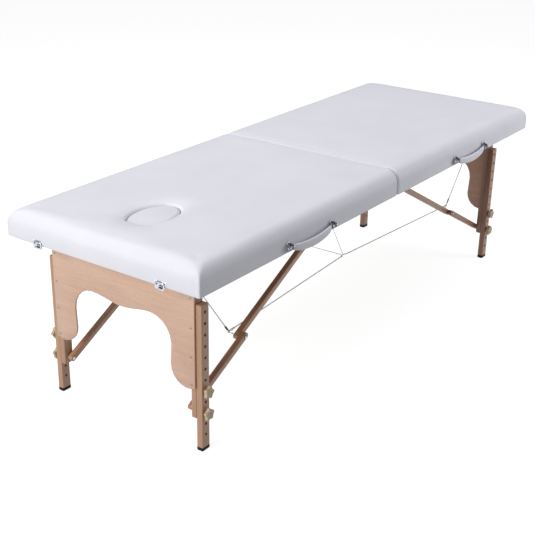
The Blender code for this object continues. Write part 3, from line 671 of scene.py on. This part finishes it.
def swell(item, held, cap, pressure):
    """Inflates a cover as cloth, holding some vertices, then limits how far any point moved."""
    before = np.array([v.co for v in item.data.vertices])
    group = item.vertex_groups.new(name="held")
    group.add([int(i) for i in held], 1.0, "REPLACE")
    cloth = item.modifiers.new("Cloth", "CLOTH")
    for key, value in CLOTH.items():
        setattr(cloth.settings, key, value)
    cloth.settings.uniform_pressure_force = pressure
    cloth.settings.effector_weights.gravity = 0.0
    cloth.collision_settings.use_collision = False
    cloth.point_cache.frame_start = 1
    cloth.point_cache.frame_end = 20
    scene = bpy.context.scene
    for number in range(1, 21):
        scene.frame_set(number)
        bpy.context.view_layer.update()
    swollen = item.evaluated_get(bpy.context.evaluated_depsgraph_get())
    after = np.array([v.co for v in swollen.data.vertices])
    item.modifiers.remove(cloth)
    scene.frame_set(1)
    move = np.nan_to_num(after - before)
    normals = np.array([v.normal for v in item.data.vertices])
    along = (move * normals).sum(axis=1, keepdims=True)
    move -= normals * np.minimum(along + SINK, 0.0)
    length = np.linalg.norm(move, axis=1, keepdims=True)
    move *= np.minimum(1.0, cap / np.maximum(length, 1e-9))
    move = spread_out(move, item, np.array(held), 14)
    item.data.vertices.foreach_set("co", (before + move).astype(np.float32).ravel())
    item.data.update()
    item.vertex_groups.clear()


def bake(item):
    """Applies a piece's modifiers."""
    graph = bpy.context.evaluated_depsgraph_get()
    item.data = bpy.data.meshes.new_from_object(item.evaluated_get(graph))
    item.modifiers.clear()
    item.data.shade_smooth()


def upholster(item, body, node):
    """Smooths a padded piece and puts it in the place of its CAD node."""
    smooth = item.modifiers.new("Smooth", "SUBSURF")
    smooth.levels = smooth.render_levels = 1
    bake(item)
    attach(item, body)
    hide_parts(node)


def dress_cover(item, side):
    """Adds what tension leaves in wrapped vinyl: pleats at the end corners and slight waves on the sides."""
    points = np.array([v.co for v in item.data.vertices])
    x, y, z = points.T.copy()
    end_x = side * HALF_LENGTH
    near_end = np.clip(1.0 - np.abs(x - end_x) / 0.012, 0.0, 1.0)
    wall = np.clip((PAD_TOP - 0.004 - z) / 0.020, 0.0, 1.0)
    outside = (z > PAD_BOTTOM - 0.001) & (np.abs(x - end_x) < 0.0022 + 0.024 * (1 - wall))
    for edge in (NEAR, FAR):
        for offset, depth, width in ((0.013, 0.0017, 0.0022), (0.020, 0.0008, 0.0030)):
            line = edge * (HALF_WIDTH - offset) - edge * 0.10 * np.clip(z - 0.535, 0.0, 1.0)
            groove = np.exp(-(((y - line) / width) ** 2)) * wall * near_end * outside
            points[:, 0] -= side * depth * groove
    waves = np.array([noise.noise(Vector((p[0] * 7.0, p[1] * 7.0, p[2] * 10.0))) for p in points])
    ripple = np.array([noise.noise(Vector((p[0] * 26.0, p[1] * 26.0, p[2] * 9.0 + 4.0))) for p in points])
    low = (z < PAD_TOP - 0.012) * np.clip((z - PAD_BOTTOM) / 0.01, 0.15, 1.0)
    for axis, half, height in ((1, HALF_WIDTH, 0.0008), (0, HALF_LENGTH, 0.0007)):
        across = (x, y)[axis]
        outer = np.clip((np.abs(across) - (half - 0.010)) / 0.008, 0.0, 1.0)
        points[:, axis] += np.sign(across) * (height * waves + 0.0004 * ripple) * outer * low
    points[:, 2] += (0.0006 * waves + 0.00015 * ripple) * (z > PAD_TOP - 0.006)
    item.data.vertices.foreach_set("co", points.astype(np.float32).ravel())
    item.data.update()


def make_cover(side):
    shell = cover_shell(side, 0.003)
    item = add_mesh(END[side] + "_cushion_cover", shell.points, shell.faces, VINYL)
    outward(item)
    swell(item, sorted(set(shell.held)), 0.0032, 1.6)
    upholster(item, END[side] + "_half", END[side] + "_cushion")
    dress_cover(item, side)


def make_plug():
    """The domed pad in the face hole: a rolled rim, straight sides and a neck that sits in the deck."""
    steps = 64
    top, dome, roll = PAD_TOP - 0.0098, 0.0040, 0.009

    def oval(z, inset_x, inset_y):
        a, b = PLUG_SEMI[0] - inset_x, PLUG_SEMI[1] - inset_y
        return [(HOLE[0] + a * math.cos(t), HOLE[1] + b * math.sin(t), z) for t in circle(steps)]

    rings = []
    for k in range(1, 8):
        share = k / 7.0
        insets = [roll + (semi - roll) * (1 - share) for semi in PLUG_SEMI]
        rings.append(oval(top + dome * (1 - share**2), *insets))
    for k in range(1, 6):
        angle = math.pi / 2 * k / 5
        inset = roll * (1 - math.sin(angle))
        rings.append(oval(top - roll * (1 - math.cos(angle)), inset, inset))
    sides = ((0.0, 0.548), (0.0, 0.5425), (0.0, 0.5400), (0.0, 0.5388))
    neck = ((0.0042, 0.5386), (0.0046, 0.5330), (0.0060, 0.5312), (0.0300, 0.5310))
    rings += [oval(z, inset, inset) for inset, z in sides + neck]
    points = [(*HOLE, top + dome)] + [p for r in rings for p in r]
    faces = [(0, 1 + (i + 1) % steps, 1 + i) for i in range(steps)]
    faces += skin((len(rings), steps), close_ends=False, first=1)
    last = 1 + (len(rings) - 1) * steps
    faces.append(tuple(last + i for i in range(steps)))
    item = add_mesh("face_hole_plug_cover", points, faces, VINYL)
    outward(item)
    swell(item, [i for i, p in enumerate(points) if p[2] < 0.545], 0.0008, 2.0)
    upholster(item, "face_plug", "face_hole_plug")


def strap_section(x, y, z, half_y, half_z, steps=20):
    """A flattened round section with a stitched welt at the top and bottom edges."""
    ring = []
    for angle in circle(steps):
        across, up = math.cos(angle), math.sin(angle)
        dy = half_y * math.copysign(abs(across) ** 0.62, across)
        dz = half_z * math.copysign(abs(up) ** 0.8, up)
        pinch = 1.0 - 0.20 * math.exp(-(((abs(up) - 0.72) / 0.10) ** 2))
        ring.append((x, y + dy * pinch, z + dz))
    return ring


def make_handle(side):
    """The padded strap between its two brackets, with round ends held by pins."""
    half = HANDLE_HALF_SPAN - BRACKET_HALF_WIDTH - 0.0003
    ay, az = HANDLE_AXIS
    rings = []
    steps, creases = 40, 9
    for i in range(steps + 1):
        part = i / steps
        x = side * HANDLE_X + half * (2 * part - 1)
        full = max(math.sin(math.pi * part), 0.0) ** 0.6
        end = min(1.0, 14.0 * part, 14.0 * (1 - part))
        crease = 1.0 - 0.05 * math.cos(math.tau * part * creases) * full
        half_y = 0.0036 * (0.62 + 0.38 * end) * (1 + 0.10 * full) * crease
        half_z = (0.0082 + 0.0038 * full) * (0.80 + 0.20 * end)
        rings.append(strap_section(x, ay - HANDLE_BOW * full, az - HANDLE_SAG * full, half_y, half_z))
    item = hull(END[side] + "_handle_strap", rings, VINYL)
    upholster(item, END[side] + "_handle", END[side] + "_handle")
    for place in (-1, 1):
        make_bracket(side, place)


def make_bracket(side, place):
    """A pressed plate with a screw above and below, and two ears that carry the strap's pin."""
    inward = -side * place
    middle = side * HANDLE_X + inward * HANDLE_HALF_SPAN
    label = "outer" if place == -1 else "inner"
    ay, az = HANDLE_AXIS
    face = -(HALF_WIDTH + 0.0003)
    low_z, high_z = BRACKET_Z
    wide, thick = BRACKET_HALF_WIDTH, 0.0018
    base = ((middle - wide, face - thick, low_z), (middle + wide, face, high_z))
    parts = [soft_block("base", *base, 0.0008, BRACKET_METAL)]
    turns = [math.pi / 2 + math.pi * i / 12 for i in range(13)]
    ear = [(ay + 0.0085 * math.cos(t), az + 0.0080 * math.sin(t)) for t in turns]
    ear += [(face - 0.0008, az - 0.0115), (face - 0.0008, az + 0.0115)]
    for shift in (-wide + 0.0010, wide - 0.0010):
        rings = [[(middle + shift + half, y, z) for y, z in ear] for half in (-0.0008, 0.0008)]
        parts.append(hull("ear", rings, BRACKET_METAL))
    start = (middle - inward * (wide + 0.0002), ay, az)
    pin = [(0.0014, 0.0), (0.0024, 0.0004), (0.0024, 0.0180)]
    pin += [(0.0034, 0.0182), (0.0034, 0.0194), (0.0020, 0.0200)]
    parts.append(lathe("pin", pin, start, (inward, 0, 0), STEEL, 16))
    for z in (low_z + 0.0042, high_z - 0.0042):
        parts += screw((middle, face - thick, z), (0, -1, 0), 0.0027, DARK_STEEL_AND_RECESS_SHADE)
    item = merge(f"{END[side]}_handle_mount_{label}", parts, END[side] + "_half")
    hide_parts(f"{END[side]}_handle_bracket_{label}")


# Legs, feet, knobs and braces


def round_square(half_x, half_y, radius, steps=4):
    ring = []
    for cx, cy, start in ((1, 1, 0), (-1, 1, 90), (-1, -1, 180), (1, -1, 270)):
        x, y = cx * (half_x - radius), cy * (half_y - radius)
        for k in range(steps + 1):
            angle = math.radians(start + 90 * k / steps)
            ring.append((x + radius * math.cos(angle), y + radius * math.sin(angle)))
    return ring


def leg_rings(side, edge, rows, radius):
    """Sections of an outer leg, from rows of a height and how far the section stands out there."""
    x, y = side * PIVOT_X, edge * sum(LEG_Y) / 2
    half_x, half_y = LEG_DEPTH / 2, (LEG_Y[1] - LEG_Y[0]) / 2
    return [
        [(x + px, y + py, z) for px, py in round_square(half_x + grow, half_y + grow, radius)]
        for z, grow in rows
    ]


def make_outer_leg(side, edge):
    """The adjustable leg: rounded edges and a row of clean round holes."""
    end, s = END[side], SIDE[edge]
    low, high = LEG_Z
    base = ((low, -0.0006), (low + 0.0006, 0.0))
    crest = ((high - 0.0016, 0.0), (high - 0.0005, -0.0006), (high, -0.0018))
    rings = leg_rings(side, edge, base + crest, 0.0017)
    item = loft(f"{end}_leg_post_{s}", rings, BEECH_UP[side], f"{end}_leg_slide_{s}", 30.0)
    mouth = HOLE_RADIUS + 0.0009
    profile = [(mouth, 0.0), (mouth, 0.001), (HOLE_RADIUS, 0.0018), (HOLE_RADIUS, 0.0212)]
    holes = []
    for k in range(HOLE_COUNT):
        start = (side * PIVOT_X, edge * (LEG_Y[1] + 0.001), FIRST_HOLE_Z - HOLE_PITCH * k)
        holes.append(lathe("bore", profile, start, (0, -edge, 0), BEECH_UP[side], 28))
    cutter = merge("bores", holes, None)
    boolean = item.modifiers.new("Bores", "BOOLEAN")
    boolean.object = cutter
    boolean.solver = "EXACT"
    bake(item)
    bpy.data.objects.remove(cutter)
    item.data.set_sharp_from_angle(angle=math.radians(35))
    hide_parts(f"{end}_outer_leg_{s}")


def make_foot(side, edge):
    """A moulded rubber cap with a lip round the wood."""
    end, s = END[side], SIDE[edge]
    rows = ((0.0, -0.0016), (0.0006, -0.0004), (0.0020, 0.0003), (0.0062, 0.0004))
    lip = ((0.0088, 0.0007), (0.0097, 0.0002), (0.0099, -0.0020))
    rings = leg_rings(side, edge, rows + lip, 0.0022)
    item = loft(f"{end}_foot_cap_{s}", rings, RUBBER_AND_OPENING_SHADE, f"{end}_leg_slide_{s}", 50.0)
    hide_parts(f"{end}_rubber_foot_{s}")


def make_knob(side, edge, label):
    """A moulded five-point star on a hub, with a raised rim round its sunk middle."""
    steps, (height, turn) = 60, KNOBS[label]

    def star(scale, rise, depth):
        ring = []
        for angle in circle(steps):
            angle += math.pi / 2
            wave = (0.5 + 0.5 * math.cos(5 * (angle - turn))) ** 1.4
            radius = scale * (0.0136 + 0.0042 * (wave * depth + 0.25 * (1 - depth)))
            ring.append((radius * math.cos(angle), radius * math.sin(angle), rise))
        return ring

    profile = [(0.50, 0.0002, 0.0), (0.52, 0.0030, 0.1), (0.62, 0.0046, 0.5), (0.90, 0.0052, 1.0)]
    profile += [(0.98, 0.0060, 1.0), (1.0, 0.0076, 1.0), (1.0, 0.0124, 1.0), (0.965, 0.0143, 1.0)]
    profile += [(0.88, 0.0153, 1.0), (0.62, 0.0156, 0.6), (0.50, 0.0158, 0.2), (0.47, 0.0164, 0.0)]
    profile += [(0.40, 0.0164, 0.0), (0.37, 0.0155, 0.0), (0.20, 0.0153, 0.0), (0.06, 0.0153, 0.0)]
    origin = (side * PIVOT_X, edge * (LEG_Y[1] + 0.0003), height)
    rings = placed([star(*row) for row in profile], origin, (0, edge, 0))
    body = f"{END[side]}_{label}_knob_{SIDE[edge]}"
    item = loft(f"{END[side]}_{label}_star_{SIDE[edge]}", rings, KNOB, body, 34.0)
    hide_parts(body)


def bolt(name, origin, axis, body, radius):
    """A domed pivot bolt head on its washer."""
    rim = [(radius * 1.45, 0.0), (radius * 1.5, 0.0003), (radius * 1.42, 0.0009), (radius * 0.9, 0.0009)]
    lift, foot, rise = 0.0008, 0.12, 0.38
    dome = [(radius, lift), (radius, lift + radius * foot)]
    for angle in (0.35, 0.7, 1.05, 1.35):
        dome.append((radius * math.cos(angle), lift + radius * (foot + rise * math.sin(angle))))
    parts = [lathe("washer", rim, origin, axis, DARK_STEEL_AND_RECESS_SHADE), lathe("dome", dome, origin, axis, STEEL)]
    merge(name, parts, body)


def make_fastenings(side):
    """Pivot bolts of the braces, screws of the end panel and of the middle hinges."""
    end = END[side]
    lower_in, lower_out = LOWER_LINK_Y
    upper_in, upper_out = UPPER_LINK_Y
    sleeve = [(0.0, -0.0002), (0.0052, 0.0), (0.0052, 0.0034), (0.0, 0.0036)]
    flush = [(0.0042, 0.0), (0.0042, 0.0002), (0.0038, 0.0003)]

    panel, hinge = [], []

    def at(place, y):
        return (side * place[0], y, place[1])

    for edge in (NEAR, FAR):
        s = SIDE[edge]
        lower, upper = f"{end}_lower_brace_{s}", f"{end}_upper_brace_{s}"
        out, back = (0, edge, 0), (0, -edge, 0)
        spacer = lathe("sleeve", sleeve, at(BRACE_FOOT, edge * lower_out), out, STEEL, 20)
        merge(f"{end}_brace_spacer_{s}", [spacer], lower)
        head = lathe("head", flush, at(BRACE_FOOT, edge * lower_in), back, STEEL)
        merge(f"{end}_brace_foot_bolt_{s}", [head], lower)
        bolt(f"{end}_brace_joint_bolt_{s}", at(BRACE_MIDDLE, edge * lower_out), out, lower, 0.0036)
        bolt(f"{end}_brace_joint_nut_{s}", at(BRACE_MIDDLE, edge * upper_in), back, upper, 0.0034)
        bolt(f"{end}_brace_top_bolt_{s}", at(BRACE_TOP, edge * upper_out), out, upper, 0.0036)
        for z in PANEL_SCREW_Z:
            panel += screw((side * PANEL_FACE_X, edge * 0.2365, z), (side, 0, 0), 0.0032, PANEL_SCREW)
        for y, x in ((-0.021, 0.019), (0.021, 0.019), (0.0, 0.021)):
            hinge += screw((side * x, edge * 0.225 + y, 0.4857), (0, 0, -1), 0.0026)
    merge(f"{end}_panel_screws", panel, end + "_leg_frame")
    merge(f"{end}_hinge_screws", hinge, end + "_half")


def dress_node(name, material, width=0.0):
    """Gives a carried-over CAD node its material, and softens its edges without moving a vertex."""
    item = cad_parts[name]
    for slot in item.material_slots:
        slot.material = material
    if width:
        weld = item.modifiers.new("Weld", "WELD")
        weld.merge_threshold = 0.00002
        bevel = item.modifiers.new("Edges", "BEVEL")
        bevel.width = width
        bevel.segments = 2
        bevel.limit_method = "ANGLE"
        bevel.angle_limit = math.radians(35)
        bevel.harden_normals = True
        item.data.shade_smooth()


# Cables


def smooth_path(points, spacing=0.006):
    """Points along a Catmull-Rom line through the given ones."""
    p = [Vector(q) for q in points]
    p = [p[0] * 2 - p[1], *p, p[-1] * 2 - p[-2]]
    made = []
    for i in range(1, len(p) - 2):
        count = max(2, int((p[i + 1] - p[i]).length / spacing))
        for k in range(count):
            t = k / count
            a, b, c, d = p[i - 1 : i + 3]
            second, third = 2 * a - 5 * b + 4 * c - d, 3 * b - a - 3 * c + d
            made.append(0.5 * (2 * b + (c - a) * t + second * t * t + third * t**3))
    made.append(p[-2])
    return made


def straight_path(points, spacing=0.006):
    made = []
    for a, b in zip(points, points[1:]):
        a, b = Vector(a), Vector(b)
        count = max(1, int((b - a).length / spacing))
        made += [a.lerp(b, k / count) for k in range(count)]
    made.append(Vector(points[-1]))
    return made


def tube(name, path, radius, material, lobes=0, twist=0.0, steps=12):
    """A swept tube. With lobes it is the outside of a laid wire rope."""
    rings = []
    side = (path[1] - path[0]).normalized().orthogonal().normalized()
    travelled = 0.0
    for i, here in enumerate(path):
        tangent = (path[min(i + 1, len(path) - 1)] - path[max(i - 1, 0)]).normalized()
        side = (side - tangent * side.dot(tangent)).normalized()
        up = tangent.cross(side)
        if i:
            travelled += (here - path[i - 1]).length
        ring = []
        for angle in circle(steps):
            r = radius * (0.88 + 0.12 * abs(math.cos(lobes / 2 * angle))) if lobes else radius
            turned = angle + twist * travelled
            ring.append(here + (side * math.cos(turned) + up * math.sin(turned)) * r)
        rings.append(ring)
    return hull(name, rings, material)


def slack(name, parts, body, node):
    """A slack cable that rides on a half."""
    item = merge(name, parts, None, 60.0)
    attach(item, body)
    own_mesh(item)
    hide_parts(node)


def make_side_cable(side, edge):
    """A wire from the deck down to the hook on the upper brace, and on to the cross cable."""
    end, s = END[side], SIDE[edge]

    def at(x, y, z):
        return Vector((side * x, edge * y, z))

    rail, low = at(0.815, 0.19, 0.487), at(0.637, 0.188, 0.252)
    start, junction = at(0.621, 0.1875, 0.244), at(0.004, 0.154, 0.25)
    path = straight_path([at(0.815, 0.19, 0.5327), rail, low])
    path += smooth_path([low, at(0.631, 0.188, 0.245), start], 0.002)[1:]
    path += straight_path([start, junction])[1:]
    parts = [tube("wire", path, 0.0019, CABLE_STEEL, *ROPE, 18)]
    down, along = (low - rail).normalized(), (junction - start).normalized()
    sleeve = [low + down * t for t in (-0.016, -0.008, 0.001)]
    parts.append(tube("sleeve", sleeve, 0.0027, SLEEVE if side == HEAD else STEEL))
    parts.append(tube("ferrule", [start + along * t for t in (-0.001, 0.016)], 0.0027, STEEL))
    tip = at(0.6115, 0.1940, 0.2265)
    hook = smooth_path([tip, at(0.6190, 0.1915, 0.2340), at(0.6290, 0.1885, 0.2405)], 0.002)
    turns = [math.tau * k / 16 for k in range(17)]
    loop = [at(EYE[0] + 0.0036 * math.cos(t), EYE[1], EYE[2] + 0.0036 * math.sin(t)) for t in turns]
    parts += [tube("hook", hook, 0.0013, STEEL, steps=10), tube("loop", loop, 0.0013, STEEL, steps=10)]
    slack(f"{end}_cable_{s}", parts, end + "_half", f"{end}_side_cable_{s}")
    disc = [(0.0052, 0.0), (0.0054, 0.0006), (0.0046, 0.0012), (0.0012, 0.0015)]
    eye = lathe("disc", disc, (tip.x, edge * (UPPER_LINK_Y[0] - 0.0001), tip.z), (0, -edge, 0), STEEL)
    merge(f"{end}_cable_eye_{s}", [eye], f"{end}_upper_brace_{s}")


def make_cross_cable():
    """The cable between the two side cables, and the two hangers that hold it up."""
    _, y, z = JUNCTION
    knot = [(0.0010, -0.0030), (0.0026, -0.0016), (0.0030, 0.0), (0.0026, 0.0016), (0.0010, 0.0030)]
    parts = []
    for edge in (NEAR, FAR):
        hanger = straight_path([(-0.014, edge * 0.04, 0.486), (0.0, edge * y, z)])
        clamp = [Vector((x, edge * y, z)) for x in (-0.012, 0.0, 0.012)]
        crimp = [Vector((-0.014, edge * 0.04, 0.4862)), Vector((-0.0133, edge * 0.0457, 0.4744))]
        parts.append(tube("hanger", hanger, 0.0012, CABLE_STEEL, *ROPE))
        parts.append(tube("clamp", clamp, 0.0029, STEEL))
        parts.append(lathe("knot", knot, (0.0, edge * y, z), (1, 0, 0), STEEL, 16))
        parts.append(tube("crimp", crimp, 0.0026, STEEL))
    parts.append(tube("span", straight_path([(0.0, -y, z), (0.0, y, z)]), 0.0012, CABLE_STEEL, *ROPE))
    slack("cable_hanger", parts, "head_half", "cross_cable")


# Latches


def make_latch(edge):
    """A pressed flap with rolled edges, an arched opening painted as a dark block of shade with a wire hook
    in it, and a rivet beside it.
    """
    s = SIDE[edge]
    y = edge * LATCH_Y
    screws = []
    for dy in (-0.0150, 0.0150):
        screws += screw((LATCH_FACE, y + dy, 0.4905), (-1, 0, 0), 0.0018, DARK_STEEL_AND_RECESS_SHADE)
    merge(f"latch_screws_{s}", screws, "head_half")
    lo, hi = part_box("latch_lever_" + s)
    front, corner = lo.x, 0.0062
    width, low, high = (hi.y - lo.y) / 2 - 0.0003, lo.z + 0.0006, hi.z - 0.0002
    tall, centre = (high - low) / 2, (high + low) / 2
    rim = ((0.0002, 0.0036), (0.0, 0.0028), (0.0, 0.0016), (0.0006, 0.0007), (0.0018, 0.0))
    dish = ((0.0034, 0.0001), (0.0046, 0.0008), (0.0054, 0.0010))
    rings = []
    for inset, depth in rim + dish:
        outline = round_square(width - inset, tall - inset, corner - inset, 8)
        rings.append([(front + depth, y + py, centre + pz) for py, pz in outline])
    parts = [hull("flap", rings, LATCH)]
    lip = ((front + 0.0004, lo.y + 0.004, lo.z), (hi.x, hi.y - 0.004, lo.z + 0.0016))
    parts.append(soft_block("lip", *lip, 0.0005, LATCH))
    middle, sill, half = y - 0.0052, low + 0.0030, 0.0062
    turns = [math.pi * i / 24 for i in range(25)]
    arch = [(middle + half * math.cos(t), sill + 0.0045 + 0.0058 * math.sin(t)) for t in turns]
    arch += [(middle - half, sill), (middle + half, sill)]
    opening = [[(front + depth, py, pz) for py, pz in arch] for depth in (0.0002, 0.0014)]
    # Painted shade: the arched opening is a black block standing for the shade inside the hole.
    parts.append(hull("opening", opening, RUBBER_AND_OPENING_SHADE))
    bend = [(middle + 0.0032 * math.cos(t), sill + 0.0048 + 0.0030 * math.sin(t)) for t in turns[::2]]
    parts.append(tube("hook", [Vector((front + 0.0004, *p)) for p in bend], 0.0009, CHROME, steps=10))
    rivet = [(0.0024, 0.0), (0.0024, 0.0003), (0.0016, 0.0008), (0.0005, 0.0010)]
    parts.append(lathe("rivet", rivet, (front + 0.0008, y + 0.0088, high - 0.0056), (-1, 0, 0), RUBBER_AND_OPENING_SHADE, 16))
    item = merge(f"latch_flap_{s}", parts, "latch_lever_" + s)
    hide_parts("latch_lever_" + s)


# The studio


def area_light(name, location, target, size, power, color=(1.0, 1.0, 1.0)):
    data = bpy.data.lights.new(name, "AREA")
    data.shape = "RECTANGLE"
    data.size, data.size_y = size
    data.energy = power
    data.color = color
    made = add_object(name, data)
    made.location = location
    made.rotation_mode = "QUATERNION"
    made.rotation_quaternion = (Vector(target) - made.location).to_track_quat("-Z", "Y")


def make_studio():
    """Soft lights, an even pale floor, and white where the camera sees past the floor."""
    scene = bpy.context.scene
    scene.world = world = bpy.data.worlds.new("studio")
    world.use_nodes = True
    nodes, links = world.node_tree.nodes, world.node_tree.links
    glow, seen = nodes["Background"], nodes.new("ShaderNodeBackground")
    glow.inputs["Color"].default_value = (0.94, 0.945, 1.0, 1.0)
    glow.inputs["Strength"].default_value = 0.27
    seen.inputs["Color"].default_value = (1.0, 1.0, 1.0, 1.0)
    pick, path = nodes.new("ShaderNodeMixShader"), nodes.new("ShaderNodeLightPath")
    for source, socket in zip((path.outputs["Is Camera Ray"], glow.outputs[0], seen.outputs[0]), pick.inputs):
        links.new(source, socket)
    links.new(pick.outputs[0], nodes["World Output"].inputs["Surface"])
    area_light("key", (-4.6, 0.5, 1.9), (-0.4, 0.0, 0.35), (2.6, 2.2), 150.0, (1.0, 0.995, 0.98))
    area_light("overhead", (0.25, 0.7, 3.4), (0.0, 0.0, 0.5), (3.6, 2.4), 64.0)
    area_light("foot_fill", (1.8, -1.9, 0.9), (0.5, -0.3, 0.5), (0.8, 0.8), 19.0)

    g = Graph("studio_floor")
    g.color(g.ramp(g.noise(g.place, 2.0, 2.0), (0.0, 0.34), (1.0, 0.36)))
    g.set(Roughness=0.9, Specular_IOR_Level=0.0, Emission_Strength=0.86, Emission_Color=(1.0, 1.0, 1.0, 1.0))
    reach, z = 60.0, -0.0002
    corners = [(-reach, -reach, z), (reach, -reach, z), (reach, reach, z), (-reach, reach, z)]
    floor = add_mesh("studio_floor", corners, [(0, 1, 2, 3)], g.material)
    floor.visible_diffuse = False
    scene.view_settings.view_transform = "Standard"
    scene.view_settings.look = "None"


def make_camera():
    """The photograph's view, from a pinhole camera fitted to it."""
    data = bpy.data.cameras.new("camera")
    data.lens, data.sensor_width = 71.5, 36.0
    data.shift_x, data.shift_y = 0.0481, 0.0403
    made = add_object("camera", data)
    azimuth, elevation, roll = math.radians(-53.033), math.radians(24.414), math.radians(0.405)
    level = math.cos(elevation)
    back = Vector((math.sin(azimuth) * level, -math.cos(azimuth) * level, math.sin(elevation)))
    right = Vector((math.cos(azimuth), math.sin(azimuth), 0.0))
    up = back.cross(right)
    right, up = right * math.cos(roll) + up * math.sin(roll), up * math.cos(roll) - right * math.sin(roll)
    turn = Matrix((right, up, back)).transposed().to_4x4()
    made.matrix_world = Matrix.Translation((-2.6539, -1.7535, 1.5302)) @ turn
    bpy.context.scene.camera = made


# The bed


def build():
    make_camera()
    make_studio()
    for side in (HEAD, FOOT):
        make_cover(side)
        make_handle(side)
        make_fastenings(side)
        for edge in (NEAR, FAR):
            make_outer_leg(side, edge)
            make_foot(side, edge)
            for label in KNOBS:
                make_knob(side, edge, label)
            make_side_cable(side, edge)
        end = END[side]
        dress_node(end + "_deck", DECK_PLY)
        dress_node(end + "_frame", FRAME_WOOD, 0.0008)
        dress_node(end + "_leg_rod", STEEL)
        dress_node(end + "_end_panel", PANEL_PLY[side], 0.0010)
        for s in SIDE.values():
            dress_node(f"{end}_hinge_leaf_{s}", STEEL, 0.0003)
            dress_node(f"{end}_inner_leg_{s}", BEECH_UP[side], 0.0014)
            dress_node(f"{end}_lower_brace_{s}", BEECH_LINK_PAINTED_SHADE[side], 0.0014)
            dress_node(f"{end}_upper_brace_{s}", BEECH_LINK_PAINTED_SHADE[side], 0.0014)
    make_plug()
    make_cross_cable()
    for edge, s in SIDE.items():
        make_latch(edge)
        dress_node("latch_plate_" + s, CHROME, 0.0004)
        dress_node("latch_strike_" + s, CHROME, 0.0005)


build()
